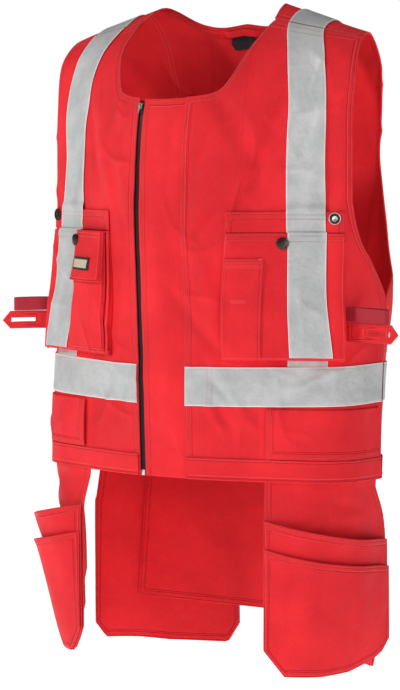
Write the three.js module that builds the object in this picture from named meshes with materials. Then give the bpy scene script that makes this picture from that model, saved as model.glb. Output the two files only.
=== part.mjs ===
// Utility work vest of coated cloth, with reflective tape, chest pockets and hanging tool pouches.
// Millimetres, +Z up. The wearer faces -Y and the wearer's left is +X.
// The origin lies between the shoulders, where the vest rests on its wearer.
import * as THREE from 'three';
import { mergeVertices } from 'three/addons/utils/BufferGeometryUtils.js';

// Body
const HALF_WIDTH = 242;
const FRONT_DEPTH = 164;
const BACK_DEPTH = 92;
const BODY_LENGTH = 587;
const SHOULDER_RISE = -2;
const NECK_HALF_WIDTH = 104;
const FRONT_NECK_DROP = 118;
const CLOTH = 2;
const GAP = 0.3;
const LAYER_GAP = 0.85;
const SEAM_GAP = 1;

// Front opening
const ZIP_SIDE = 33;
const ZIP_OPENING = 7;
const ZIP_TEETH_WIDTH = 5.6;
const ZIP_TAPE_WIDTH = 30;
const ZIP_TAPE_THICKNESS = 0.8;
const SLIDER_LENGTH = 12;
const SLIDER_WIDTH = 9;
const SLIDER_THICKNESS = 3;
const ZIP_BOX_LENGTH = 7;
const PLACKET_FOLD = 36;
const PLACKET_OVERLAP = 14;

// Trim
const TAPE_WIDTH = 50;
const TAPE_THICKNESS = 1;
const WAISTBAND_HEIGHT = 28;
const WAISTBAND_THICKNESS = 1.4;
const WAIST_TAPE_ABOVE_HEM = 100;
const WAIST_TAPE_SAG = 5;
const NECK_FACING_HEIGHT = 8;
const NECK_FACING_THICKNESS = 1;
const HANGER_LENGTH = 80;
const HANGER_WIDTH = 6;
const HANGER_THICKNESS = 1.5;
const HANGER_LIFT = 6;
const HANGER_BELOW_EDGE = 1.5;
const LABEL_WIDTH = 38;
const LABEL_HEIGHT = 12;
const LABEL_BELOW_FACING = 2;
const LABEL_THICKNESS = 0.8;

// Chest pockets
const CHEST_POCKET_WIDTH = 153;
const CHEST_POCKET_HEIGHT = 161;
const CHEST_POCKET_CLEARANCE = 5;
const CHEST_POCKET_FROM_CORNER = 8;
const FACING_HEIGHT = 27;
const FACING_THICKNESS = 1.6;
const MOUTH_LIFT = 3.4;
const BELLOWS_DEPTH = 19;
const PATCH_THICKNESS = 1.4;
const PEN_POCKET_WIDTH = 52;
const PEN_POCKET_HEIGHT = 129;
const PHONE_POCKET_WIDTH = 80;
const PHONE_FLAP_HEIGHT = 66;
const PHONE_DEPTH = 9;
const FLAP_LABEL_WIDTH = 46;
const FLAP_LABEL_HEIGHT = 17;
const STUD_DIAMETER = 16;
const STUD_THICKNESS = 3;

// Hand pockets and loops
const HAND_POCKET_WIDTH = 162;
const HAND_POCKET_LIFT = 3;
const WEBBING_WIDTH = 18;
const WEBBING_THICKNESS = 2;
const WEBBING_REACH = 62;
const WEBBING_OPEN = 9;
const TAB_HEIGHT = 24;
const TAB_REACH = 78;
const TAB_THICKNESS = 2.4;
const TAB_SLOT_HEIGHT = 5.6;
const TAB_SLOT_LENGTH = 34;
const LOOP_SPACING = 1;

// Hanging pouches
const HOLSTER_LENGTH = 249;
const INNER_MOUTH_BELOW = 49;
const OUTER_MOUTH_BELOW = 84;
const MOUTH_SLOPE = 30;
const INNER_BULGE = 34;
const OUTER_BULGE = 9;
const TUCK = 14;
const REAR_POUCH_LENGTH = 259;
const REAR_POCKET_BELOW = 60;
const REAR_BULGE = 16;
const REAR_POUCH_INNER_EDGE = 32;
const TAIL_LENGTH = 198;
const TAIL_HALF_WIDTH = 170;

const HEM_Z = SHOULDER_RISE - BODY_LENGTH;
const NECK_POINT_Z = SHOULDER_RISE + 0.032 * BODY_LENGTH;

// Rows that the front and back share where they meet on the shoulder.
// drop: share of BODY_LENGTH below the ridge. tilt: fall of the row for each millimetre outwards.
// centre, tape, corner and side: x as a share of HALF_WIDTH, y as a share of the depth named below.
const SHOULDER_ROWS = {
  chest: {
    drop: 0.078, tilt: 0.12, centre: -0.73,
    tape: [0.692, -0.409], corner: [0.953, -0.3], side: [0.975, 0],
  },
  seam: {
    drop: 0.02, tilt: 0.2, centre: -0.235,
    tape: [0.632, -0.268], corner: [0.932, -0.16], side: [0.96, 0.02],
  },
  ridge: {
    drop: 0, tilt: 0.33, centre: 0.05,
    tape: [0.62, 0], corner: [0.917, 0], side: [0.935, 0.12],
  },
};

// at: place of the row along the cloth, in shares of BODY_LENGTH, y in shares of FRONT_DEPTH.
const FRONT_ROWS = [
  { at: -0.03, ...SHOULDER_ROWS.ridge },
  { at: 0.03, ...SHOULDER_ROWS.seam },
  { at: 0.088, ...SHOULDER_ROWS.chest },
  {
    at: 0.189, drop: 0.189, tilt: 0.02, centre: -0.915,
    tape: [0.736, -0.5], corner: [0.95, -0.37], side: [0.99, 0],
  },
  {
    at: 0.307, drop: 0.307, tilt: 0, centre: -0.988,
    tape: [0.734, -0.523], corner: [0.95, -0.372], side: [0.992, -0.01],
  },
  {
    at: 0.442, drop: 0.442, tilt: 0, centre: -1,
    tape: [0.738, -0.529], corner: [0.946, -0.366], side: [0.998, 0.02],
  },
  {
    at: 0.604, drop: 0.604, tilt: 0, centre: -0.963,
    tape: [0.752, -0.534], corner: [0.93, -0.378], side: [1, 0.024],
  },
  {
    at: 0.737, drop: 0.737, tilt: 0, centre: -0.933,
    tape: [0.773, -0.585], corner: [0.938, -0.402], side: [1, -0.024],
  },
  {
    at: 0.863, drop: 0.863, tilt: 0, centre: -0.915,
    tape: [0.773, -0.616], corner: [0.946, -0.421], side: [0.996, -0.037],
  },
  {
    at: 1, drop: 1, tilt: 0, centre: -0.89,
    tape: [0.773, -0.634], corner: [0.95, -0.427], side: [0.996, -0.049],
  },
];

// y in shares of BACK_DEPTH behind the ridge, and of FRONT_DEPTH ahead of it and at the side seam.
const BACK_ROWS = [
  { at: -0.13, ...SHOULDER_ROWS.chest },
  { at: -0.07, ...SHOULDER_ROWS.seam },
  { at: 0, ...SHOULDER_ROWS.ridge },
  {
    at: 0.075, drop: 0.054, tilt: 0.25, centre: 0.52,
    tape: [0.624, 0.46], corner: [0.917, 0.22], side: [0.95, 0],
  },
  {
    at: 0.125, drop: 0.105, tilt: 0.15, centre: 0.72,
    tape: [0.632, 0.63], corner: [0.913, 0.29], side: [0.955, 0],
  },
  {
    at: 0.2, drop: 0.181, tilt: 0.04, centre: 0.9,
    tape: [0.669, 0.74], corner: [0.888, 0.39], side: [0.94, 0],
  },
  {
    at: 0.307, drop: 0.3, tilt: 0, centre: 1,
    tape: [0.711, 0.8], corner: [0.88, 0.4], side: [0.95, 0],
  },
  {
    at: 0.464, drop: 0.464, tilt: 0, centre: 1,
    tape: [0.731, 0.83], corner: [0.926, 0.44], side: [0.98, 0.01],
  },
  {
    at: 0.604, drop: 0.604, tilt: 0, centre: 0.99,
    tape: [0.736, 0.82], corner: [0.97, 0.36], side: [1, 0.024],
  },
  {
    at: 0.737, drop: 0.737, tilt: 0, centre: 0.98,
    tape: [0.73, 0.78], corner: [0.952, 0.27], side: [1, -0.024],
  },
  {
    at: 0.863, drop: 0.863, tilt: 0, centre: 0.96,
    tape: [0.725, 0.73], corner: [0.93, 0.24], side: [0.996, -0.037],
  },
  {
    at: 1, drop: 1, tilt: 0, centre: 0.93,
    tape: [0.722, 0.7], corner: [0.92, 0.23], side: [0.996, -0.049],
  },
];

// reach: how far the armhole edge has gone from the corner line (0) to the side seam (1).
const FRONT_ARMHOLE = [
  { at: 0.39, reach: 0 },
  { at: 0.442, reach: 0.1 },
  { at: 0.49, reach: 0.3 },
  { at: 0.526, reach: 0.54 },
  { at: 0.56, reach: 0.78 },
  { at: 0.585, reach: 0.93 },
  { at: 0.604, reach: 1 },
];
const BACK_ARMHOLE = [
  { at: 0.5, reach: 0 },
  { at: 0.54, reach: 0.14 },
  { at: 0.566, reach: 0.4 },
  { at: 0.585, reach: 0.7 },
  { at: 0.604, reach: 1 },
];

// across: share of NECK_HALF_WIDTH. depth: share of the neck's drop at that place.
const FRONT_NECKLINE = [
  { across: -0.5, depth: 0.99 },
  { across: 0, depth: 1 },
  { across: 0.385, depth: 0.985 },
  { across: 0.596, depth: 0.95 },
  { across: 0.731, depth: 0.88 },
  { across: 0.827, depth: 0.74 },
  { across: 0.9, depth: 0.56 },
  { across: 0.96, depth: 0.38 },
  { across: 1, depth: 0.16 },
];
const BACK_NECKLINE = [
  { across: 0, at: 0.084 },
  { across: 0.35, at: 0.078 },
  { across: 0.62, at: 0.06 },
  { across: 0.82, at: 0.03 },
  { across: 0.94, at: -0.01 },
  { across: 1, at: -0.07 },
];

// The holster's own rows. below: share of HOLSTER_LENGTH under the hem. stations: x, y shares
// of HALF_WIDTH and FRONT_DEPTH at the front edge, at thirds of the width and at the back edge.
const HOLSTER_ROWS = [
  { below: 0.2, stations: [[0.582, -0.765], [0.81, -0.61], [0.95, -0.32], [0.988, 0.03]] },
  { below: 0.45, stations: [[0.582, -0.77], [0.785, -0.58], [0.915, -0.27], [0.986, 0.08]] },
  { below: 1, stations: [[0.582, -0.775], [0.775, -0.58], [0.9, -0.26], [0.984, 0.1]] },
];
// The holster's back edge at the hem, and its width there, in shares of the girth to the side seam
const HOLSTER_HEM = { back: 0.985, width: 0.535 };

// Lower edges: across the pouch from its front or inner edge, the share of its length cut away.
const HOLSTER_BASE = [
  { across: 0, cut: 0.14 },
  { across: 0.15, cut: 0.005 },
  { across: 0.4, cut: 0 },
  { across: 0.62, cut: 0.012 },
  { across: 0.84, cut: 0.06 },
  { across: 0.93, cut: 0.095 },
  { across: 1, cut: 0.16 },
];
const REAR_BASE = [
  { across: 0, cut: 0.09 },
  { across: 0.07, cut: 0.01 },
  { across: 0.5, cut: 0 },
  { across: 0.92, cut: 0.015 },
  { across: 1, cut: 0.12 },
];

function cloth(color) {
  return new THREE.MeshStandardMaterial({ color, roughness: 0.75, metalness: 0 });
}

const RED = cloth(0xf03440);
const TAPE = new THREE.MeshStandardMaterial({ color: 0xc3c6c8, roughness: 0.4, metalness: 0.1 });
const WEBBING = cloth(0xc82038);
const BLACK = cloth(0x17161a);
const LABEL = cloth(0xb9ad98);
const STEEL = new THREE.MeshStandardMaterial({ color: 0xb8babd, roughness: 0.3, metalness: 0.9 });
const BRONZE = new THREE.MeshStandardMaterial({ color: 0x3a302b, roughness: 0.35, metalness: 0.8 });

// Curves through table values

function slopeAt(knots, values, k) {
  const before = Math.max(k - 1, 0);
  const after = Math.min(k + 1, knots.length - 1);
  return (values[after] - values[before]) / (knots[after] - knots[before]);
}

function smooth(knots, values, at) {
  let i = 0;
  while (i < knots.length - 2 && at > knots[i + 1]) i += 1;
  const span = knots[i + 1] - knots[i];
  const t = (at - knots[i]) / span;
  const start = slopeAt(knots, values, i) * span;
  const end = slopeAt(knots, values, i + 1) * span;
  const rise = values[i + 1] - values[i];
  return values[i] + t * (start + t * (3 * rise - 2 * start - end + t * (start + end - 2 * rise)));
}

function straight(knots, values, at) {
  let i = 0;
  while (i < knots.length - 2 && at > knots[i + 1]) i += 1;
  const t = THREE.MathUtils.clamp((at - knots[i]) / (knots[i + 1] - knots[i]), 0, 1);
  return values[i] + t * (values[i + 1] - values[i]);
}

function column(rows, name) {
  return rows.map((row) => row[name]);
}

// A row of the cloth, as a fine line with its length measured from the centre or first station
const LINE_STEPS = 72;

function lineThrough(points, mirrored) {
  const all = mirrored ? [[-points[1][0], points[1][1]], ...points] : points;
  const knots = [0];
  for (let i = 1; i < all.length; i += 1) {
    knots.push(knots[i - 1] + Math.hypot(all[i][0] - all[i - 1][0], all[i][1] - all[i - 1][1]));
  }
  const start = mirrored ? knots[1] : 0;
  const end = knots[knots.length - 1];
  const xs = all.map((p) => p[0]);
  const ys = all.map((p) => p[1]);
  const line = { x: [], y: [], girth: [], stations: [] };
  for (let i = 0; i <= LINE_STEPS; i += 1) {
    const at = start + ((end - start) * i) / LINE_STEPS;
    line.x.push(smooth(knots, xs, at));
    line.y.push(smooth(knots, ys, at));
    const step = i === 0 ? 0 : Math.hypot(line.x[i] - line.x[i - 1], line.y[i] - line.y[i - 1]);
    line.girth.push(i === 0 ? 0 : line.girth[i - 1] + step);
  }
  const shares = knots.map((knot) => ((knot - start) / (end - start)) * LINE_STEPS);
  const steps = line.girth.map((_, i) => i);
  line.stations = shares.map((share) => straight(steps, line.girth, share));
  return line;
}

function pointOnLine(line, girth) {
  const last = line.girth.length - 1;
  let i = 0;
  while (i < last - 1 && girth > line.girth[i + 1]) i += 1;
  const t = (girth - line.girth[i]) / (line.girth[i + 1] - line.girth[i]);
  const x = line.x[i] + t * (line.x[i + 1] - line.x[i]);
  const y = line.y[i] + t * (line.y[i + 1] - line.y[i]);
  return [x, y];
}

// A surface made of rows. Its point(girth, at) gives a place on it, and lifted(girth, at, height)
// the place that lies height outside it. A negative girth is on the wearer's right.
function surfaceOf(lineAt, heightAt, outward, centred = true) {
  const kept = new Map();
  function line(at) {
    const key = at.toFixed(7);
    if (!kept.has(key)) kept.set(key, lineAt(at));
    return kept.get(key);
  }
  function point(girth, at) {
    const [x, y] = pointOnLine(line(at), Math.abs(girth));
    return new THREE.Vector3(x, y, heightAt(at, x));
  }
  function lifted(girth, at, height) {
    const side = girth < 0 || Object.is(girth, -0) ? -1 : 1;
    const reach = Math.abs(girth);
    const acrossStep = 1.5;
    const downStep = 0.003;
    const low = Math.max(reach - acrossStep, 0);
    const across = point(reach + acrossStep, at).sub(point(low, at));
    if (centred && reach < 0.01) across.set(1, 0, 0);
    const down = point(reach, at + downStep).sub(point(reach, at - downStep));
    const normal = across.cross(down).normalize().multiplyScalar(outward);
    const place = point(reach, at).addScaledVector(normal, height);
    if (centred && reach < 0.01) place.x = 0;
    place.x *= side;
    return place;
  }
  return { line, point, lifted };
}

function bodyY(share, overShoulder) {
  return share * (overShoulder && share > 0 ? BACK_DEPTH : FRONT_DEPTH);
}

// The shoulder rows tilt about a line this far outside the middle of the tape
const LEVEL_BEYOND_TAPE = 13;

function bodySurface(rows, behind) {
  const knots = column(rows, 'at');
  const middle = SHOULDER_ROWS.ridge.tape[0] * HALF_WIDTH + LEVEL_BEYOND_TAPE;
  const stationNames = ['tape', 'corner', 'side'];
  function lineAt(at) {
    const centre = smooth(knots, rows.map((row) => bodyY(row.centre, behind)), at);
    const points = [[0, centre]];
    for (const name of stationNames) {
      const sideSeam = name === 'side';
      const x = smooth(knots, rows.map((row) => row[name][0] * HALF_WIDTH), at);
      const y = smooth(knots, rows.map((row) => bodyY(row[name][1], behind && !sideSeam)), at);
      points.push([x, y]);
    }
    return lineThrough(points, true);
  }
  function heightAt(at, x) {
    const drop = smooth(knots, column(rows, 'drop'), at);
    const tilt = smooth(knots, column(rows, 'tilt'), at);
    return SHOULDER_RISE - drop * BODY_LENGTH - tilt * (x - middle);
  }
  return surfaceOf(lineAt, heightAt, behind ? 1 : -1);
}

const FRONT = bodySurface(FRONT_ROWS, false);
const BACK = bodySurface(BACK_ROWS, true);
const FRONT_SEAM_AT = 0.03;
const BACK_SEAM_AT = -0.07;
const STATION = { tape: 2, corner: 3, side: 4 };

function girthOf(surface, at, name) {
  return surface.line(at).stations[STATION[name]];
}

function aboveHem(distance) {
  return 1 - distance / BODY_LENGTH;
}

function sideEdge(surface, armhole, at) {
  const corner = girthOf(surface, at, 'corner');
  const side = girthOf(surface, at, 'side') - SEAM_GAP / 2;
  const reach = smooth(column(armhole, 'at'), column(armhole, 'reach'), Math.max(at, armhole[0].at));
  return at >= armhole[armhole.length - 1].at ? side : corner + Math.max(reach, 0) * (side - corner);
}

// Closed solids from two facing grids

function solidFromGrids(outer, inner) {
  const across = outer.length - 1;
  const down = outer[0].length - 1;
  const positions = [];
  function triangle(a, b, c) {
    for (const p of [a, b, c]) positions.push(p.x, p.y, p.z);
  }
  function quad(a, b, c, d) {
    if (a.distanceTo(c) < b.distanceTo(d)) {
      triangle(a, b, c);
      triangle(a, c, d);
    } else {
      triangle(a, b, d);
      triangle(b, c, d);
    }
  }
  for (let i = 0; i < across; i += 1) {
    for (let j = 0; j < down; j += 1) {
      quad(outer[i][j], outer[i + 1][j], outer[i + 1][j + 1], outer[i][j + 1]);
      quad(inner[i][j], inner[i][j + 1], inner[i + 1][j + 1], inner[i + 1][j]);
    }
    quad(inner[i][0], inner[i + 1][0], outer[i + 1][0], outer[i][0]);
    quad(outer[i][down], outer[i + 1][down], inner[i + 1][down], inner[i][down]);
  }
  for (let j = 0; j < down; j += 1) {
    quad(outer[0][j], outer[0][j + 1], inner[0][j + 1], inner[0][j]);
    quad(inner[across][j], inner[across][j + 1], outer[across][j + 1], outer[across][j]);
  }
  return closed(positions);
}

function closed(positions) {
  const loose = new THREE.BufferGeometry();
  loose.setAttribute('position', new THREE.Float32BufferAttribute(positions, 3));
  const merged = mergeVertices(loose, 1e-3);
  const index = merged.getIndex().array;
  const place = merged.getAttribute('position');
  const kept = [];
  let volume = 0;
  const a = new THREE.Vector3();
  const b = new THREE.Vector3();
  const c = new THREE.Vector3();
  for (let i = 0; i < index.length; i += 3) {
    const [p, q, r] = [index[i], index[i + 1], index[i + 2]];
    if (p === q || q === r || p === r) continue;
    kept.push(p, q, r);
    volume += a.fromBufferAttribute(place, p).dot(
      b.fromBufferAttribute(place, q).cross(c.fromBufferAttribute(place, r)),
    );
  }
  if (volume < 0) kept.reverse();
  merged.setIndex(kept);
  merged.computeVertexNormals();
  return merged;
}

function grid(across, down, place) {
  return across.map((a) => down.map((b) => place(a, b)));
}

function evenly(count, from = 0, to = 1) {
  return Array.from({ length: count + 1 }, (_, i) => from + ((to - from) * i) / count);
}

// A sheet of cloth: place(a, b, height) is a point above the sheet's resting surface.
function sheet(across, down, place, low, thickness) {
  const lowAt = typeof low === 'function' ? low : () => low;
  const outer = grid(across, down, (a, b) => place(a, b, lowAt(a, b) + thickness));
  const inner = grid(across, down, (a, b) => place(a, b, lowAt(a, b)));
  return solidFromGrids(outer, inner);
}

// A patch with walls that turn down to the surface all round: open only towards what it is sewn to.
function dish(across, down, width, height, place, lift, base, wall) {
  const last = [across.length - 1, down.length - 1];
  function walled(shares) {
    return [shares[0], ...shares, shares[shares.length - 1]];
  }
  function rings(inset) {
    const side = inset / width;
    const end = inset / height;
    const a = walled(across.map((share) => side + share * (1 - 2 * side)));
    const b = walled(down.map((share) => end + share * (1 - 2 * end)));
    return a.map((s, i) => b.map((t, j) => {
      const onRim = i === 0 || j === 0 || i === last[0] + 2 || j === last[1] + 2;
      return place(s, t, onRim ? base : lift(s, t) - inset);
    }));
  }
  return solidFromGrids(rings(0), rings(wall));
}

const vest = new THREE.Group();

function add(name, geometry, material) {
  const mesh = new THREE.Mesh(geometry, material);
  mesh.name = name;
  vest.add(mesh);
  return mesh;
}

const SIDES = [
  { name: 'right', side: -1 },
  { name: 'left', side: 1 },
];

// Body panels

// The row of the neck edge is found by halving between the shoulder seam and this row
const LOWEST_NECK_AT = 0.35;
const NECK_HALVINGS = 26;

function frontTop(girth) {
  if (girth >= NECK_HALF_WIDTH) return FRONT_SEAM_AT;
  const share = girth / NECK_HALF_WIDTH;
  const depth = smooth(column(FRONT_NECKLINE, 'across'), column(FRONT_NECKLINE, 'depth'), share);
  const height = NECK_POINT_Z - depth * FRONT_NECK_DROP;
  let high = FRONT_SEAM_AT;
  let low = LOWEST_NECK_AT;
  for (let i = 0; i < NECK_HALVINGS; i += 1) {
    const middle = (high + low) / 2;
    if (FRONT.point(girth, middle).z > height) high = middle;
    else low = middle;
  }
  return high;
}

const SEAM_CLEARANCE = SEAM_GAP / BODY_LENGTH;

const FRONT_COLUMNS = [0, 0.12, 0.22, 0.3, 0.37, 0.44, 0.53, 0.61, 0.68, 0.74, 0.8, 0.86, 0.93, 1];
const FRONT_STEPS = [0, 0.05, 0.11, 0.18, 0.26, 0.34, 0.42, 0.5, 0.57, 0.64, 0.76, 0.88, 1];
const BACK_STEPS = [0, 0.05, 0.1, 0.15, 0.21, 0.28, 0.36, 0.44, 0.52, 0.58, 0.64, 0.76, 0.88, 1];
const BACK_HALF = [0.12, 0.24, 0.34, 0.42, 0.48, 0.55, 0.62, 0.69, 0.76, 0.82, 0.88, 0.94, 1];
const BACK_COLUMNS = [...BACK_HALF.map((share) => -share).reverse(), 0, ...BACK_HALF];

function frontPanel(side, innerEdge) {
  const across = FRONT_COLUMNS;
  const topEdge = girthOf(FRONT, FRONT_SEAM_AT, 'corner');
  const tops = across.map((a) => frontTop(innerEdge + a * (topEdge - innerEdge)) + SEAM_CLEARANCE);
  function place(a, b, height) {
    const top = tops[across.indexOf(a)];
    const at = top + b * (1 - top);
    const girth = innerEdge + a * (sideEdge(FRONT, FRONT_ARMHOLE, at) - innerEdge);
    return FRONT.lifted(side * girth, at, height);
  }
  return sheet(across, FRONT_STEPS, place, 0, CLOTH);
}

function backTop(girth) {
  const share = girth / NECK_HALF_WIDTH;
  if (share >= 1) return BACK_SEAM_AT;
  return smooth(column(BACK_NECKLINE, 'across'), column(BACK_NECKLINE, 'at'), share);
}

function backPlace(a, b, height) {
  const reach = Math.abs(a);
  const top = backTop(reach * girthOf(BACK, BACK_SEAM_AT, 'corner'));
  const at = top + b * (1 - top);
  const girth = reach * sideEdge(BACK, BACK_ARMHOLE, at);
  return BACK.lifted(a < 0 ? -girth : girth, at, height);
}

const RIGHT_EDGE = ZIP_SIDE + ZIP_OPENING / 2;
const PLACKET_EDGE = -(ZIP_SIDE - ZIP_OPENING / 2);
add('front_right', frontPanel(-1, RIGHT_EDGE), RED);
add('front_left', frontPanel(1, PLACKET_FOLD), RED);
add('back_panel', sheet(BACK_COLUMNS, BACK_STEPS, backPlace, 0, CLOTH), RED);

// A strip down the centre front, between two girths measured towards the wearer's left
const STRIP_COLUMN_WIDTH = 22;

function frontStrip(from, to, low, thickness, topClearance = 0, bottomClearance = 0) {
  const rows = evenly(12);
  function place(a, b, height) {
    const girth = from + a * (to - from);
    const top = frontTop(Math.abs(girth)) + SEAM_CLEARANCE + topClearance / BODY_LENGTH;
    const bottom = aboveHem(bottomClearance);
    return FRONT.lifted(girth, top + b * (bottom - top), height);
  }
  const steps = Math.max(1, Math.round((to - from) / STRIP_COLUMN_WIDTH));
  return sheet(evenly(steps), rows, place, low, thickness);
}

const UNDER = -CLOTH - LAYER_GAP;
add('placket', frontStrip(PLACKET_EDGE, PLACKET_FOLD + PLACKET_OVERLAP, UNDER, CLOTH), RED);
const ZIP_TAPE_LOW = UNDER - LAYER_GAP - ZIP_TAPE_THICKNESS;
const ZIP_FROM = -ZIP_SIDE - ZIP_TAPE_WIDTH / 2;
const ZIP_TO = ZIP_FROM + ZIP_TAPE_WIDTH;
const ZIP_TAPE_SHORT = 2;
add(
  'zip_tape',
  frontStrip(ZIP_FROM, ZIP_TO, ZIP_TAPE_LOW, ZIP_TAPE_THICKNESS, ZIP_TAPE_SHORT, ZIP_TAPE_SHORT),
  BLACK,
);
const TEETH_FROM = -ZIP_SIDE - ZIP_TEETH_WIDTH / 2;
const TEETH_TO = TEETH_FROM + ZIP_TEETH_WIDTH;
const TEETH_THICKNESS = CLOTH + GAP;
const TEETH_TOP_CLEARANCE = 3;
add(
  'zip_teeth',
  frontStrip(TEETH_FROM, TEETH_TO, UNDER, TEETH_THICKNESS, TEETH_TOP_CLEARANCE, ZIP_BOX_LENGTH),
  BLACK,
);

// A small block set on the front at a girth and row, its length running down
function frontBlock(girth, at, width, length, low, thickness) {
  const rise = length / BODY_LENGTH;
  function place(a, b, height) {
    return FRONT.lifted(girth + (a - 0.5) * width, at + b * rise, height);
  }
  return sheet([0, 0.12, 0.88, 1], [0, 0.15, 0.85, 1], place, low, thickness);
}

const SLIDER_BELOW_NECK = 4;
const SLIDER_AT = frontTop(ZIP_SIDE) + SLIDER_BELOW_NECK / BODY_LENGTH;
add(
  'zip_slider',
  frontBlock(-ZIP_SIDE, SLIDER_AT, SLIDER_WIDTH, SLIDER_LENGTH, CLOTH + GAP, SLIDER_THICKNESS),
  STEEL,
);
const BOX_LENGTH = ZIP_BOX_LENGTH - GAP;
const BOX_AT = aboveHem(BOX_LENGTH);
const BOX_THICKNESS = CLOTH + 2 * GAP;
add('zip_box', frontBlock(-ZIP_SIDE, BOX_AT, ZIP_TEETH_WIDTH, BOX_LENGTH, UNDER, BOX_THICKNESS), STEEL);

// Back neck: facing, hanger loop and plain label, all on the inside.
// A place there is given by a share of the panel's width and a distance below the neck edge.
function insideNeck(share, below, height) {
  const edge = backPlace(share, 0, height);
  return edge.lerp(backPlace(share, BACK_STEPS[1], height), below / (BACK_STEPS[1] * BODY_LENGTH));
}

const NECK_PANEL_HALF = girthOf(BACK, BACK_SEAM_AT, 'corner');
const NECK_FACING_SHARE = 0.42;
const NECK_FACING_BELOW_EDGE = 0.4;

function neckFacing() {
  const columns = BACK_COLUMNS.filter((share) => Math.abs(share) <= NECK_FACING_SHARE);
  function place(a, b, height) {
    return insideNeck(a, NECK_FACING_BELOW_EDGE + b * NECK_FACING_HEIGHT, height);
  }
  return sheet(columns, [0, 1], place, -LAYER_GAP - NECK_FACING_THICKNESS, NECK_FACING_THICKNESS);
}

// Shares of the hanger's half length: beyond the third it lies flat, sewn to the facing
const HANGER_HALF = [0.3, 0.6, 0.8, 0.88, 1];
const HANGER_SEWN_FROM = HANGER_HALF[2];
const HANGER_ACROSS = [...HANGER_HALF.map((share) => -share).reverse(), 0, ...HANGER_HALF];

function hangerLoop() {
  const under = -2 * LAYER_GAP - NECK_FACING_THICKNESS - HANGER_THICKNESS;
  const half = HANGER_LENGTH / 2 / NECK_PANEL_HALF;
  function place(a, b, height) {
    return insideNeck(a * half, HANGER_BELOW_EDGE + b * HANGER_WIDTH, height);
  }
  function low(a) {
    return under - HANGER_LIFT * Math.max(0, 1 - (a / HANGER_SEWN_FROM) ** 4);
  }
  return sheet(HANGER_ACROSS, [0, 1], place, low, HANGER_THICKNESS);
}

// The label is six-sided: its upper and lower edges are shorter than its middle by this share
const LABEL_TAPER = 0.22;

function neckLabel() {
  const half = LABEL_WIDTH / 2 / NECK_PANEL_HALF;
  function place(a, b, height) {
    const taper = 1 - LABEL_TAPER * Math.abs(2 * b - 1);
    const below = NECK_FACING_HEIGHT + LABEL_BELOW_FACING + b * LABEL_HEIGHT;
    return insideNeck(a * half * taper, below, height);
  }
  return sheet([-1, 0, 1], [0, 0.5, 1], place, -LAYER_GAP - LABEL_THICKNESS, LABEL_THICKNESS);
}

add('neck_facing', neckFacing(), RED);
add('hanger_loop', hangerLoop(), RED);
add('neck_label', neckLabel(), BLACK);

// Waistband and waist tape: bands between two heights above the hem
function band(surface, side, innerEdge, bottom, height, thickness, columns, sag = 0) {
  function place(a, b, lift) {
    const top = aboveHem(bottom + height);
    const edge = girthOf(surface, top, 'side') - SEAM_GAP;
    const girth = innerEdge === null ? a * edge : side * (innerEdge + a * (edge - innerEdge));
    const share = Math.min(Math.abs(girth) / edge, 1);
    const at = top + (b * height + sag * (1 - share * share)) / BODY_LENGTH;
    return surface.lifted(girth, at, lift);
  }
  return sheet(columns, [0, 1], place, CLOTH + LAYER_GAP, thickness);
}

const BANDS = [
  { name: 'right', surface: FRONT, side: -1, innerEdge: RIGHT_EDGE + 1, columns: FRONT_COLUMNS },
  { name: 'left', surface: FRONT, side: 1, innerEdge: PLACKET_FOLD + 1, columns: FRONT_COLUMNS },
  { name: 'back', surface: BACK, side: 1, innerEdge: null, columns: BACK_COLUMNS },
];
for (const { name, surface, side, innerEdge, columns } of BANDS) {
  const hem = band(surface, side, innerEdge, 0.5, WAISTBAND_HEIGHT, WAISTBAND_THICKNESS, columns);
  add(`waistband_${name}`, hem, RED);
  const sag = surface === FRONT ? WAIST_TAPE_SAG : 0;
  const bottom = WAIST_TAPE_ABOVE_HEM;
  const tape = band(surface, side, innerEdge, bottom, TAPE_WIDTH, TAPE_THICKNESS, columns, sag);
  add(`waist_tape_${name}`, tape, TAPE);
}

// Chest pockets
const POCKET_BOTTOM = WAIST_TAPE_ABOVE_HEM + TAPE_WIDTH + CHEST_POCKET_CLEARANCE;
const MOUTH = POCKET_BOTTOM + CHEST_POCKET_HEIGHT;
const FACING_TOP = MOUTH + FACING_HEIGHT;
const POCKET_BASE = CLOTH + LAYER_GAP;
const FACING_CLEARANCE = 1;
const FACING_LIFT = 0.4;
const FACING_BASE = POCKET_BASE + FACING_LIFT;

function pocketGirth(a, at) {
  const edge = girthOf(FRONT, at, 'corner') - CHEST_POCKET_FROM_CORNER;
  return edge - (1 - a) * CHEST_POCKET_WIDTH;
}

function pocketPlace(side, top, height) {
  return (a, b, lift) => {
    const at = aboveHem(top - b * height);
    return FRONT.lifted(side * pocketGirth(a, at), at, lift);
  };
}

// Height of the pocket's outer face: a runs from the inner edge outwards, b from the mouth down
function pocketLift(a, b) {
  const bellows = BELLOWS_DEPTH * Math.min(1, b * 1.6) * (0.35 + 0.65 * a);
  const mouth = MOUTH_LIFT * (0.6 + 0.4 * a);
  return POCKET_BASE + CLOTH + Math.max(mouth * (1 - b), 0) * 0.5 + bellows * 0.75;
}

const POCKET_COLUMNS = [0, 0.05, 0.18, 0.32, 0.46, 0.6, 0.72, 0.84, 0.95, 1];
const POCKET_STEPS = [0, 0.06, 0.25, 0.5, 0.75, 0.94, 1];

function facing(side) {
  const height = FACING_HEIGHT - FACING_CLEARANCE;
  return sheet(evenly(9), [0, 1], pocketPlace(side, FACING_TOP, height), FACING_BASE, FACING_THICKNESS);
}

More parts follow.
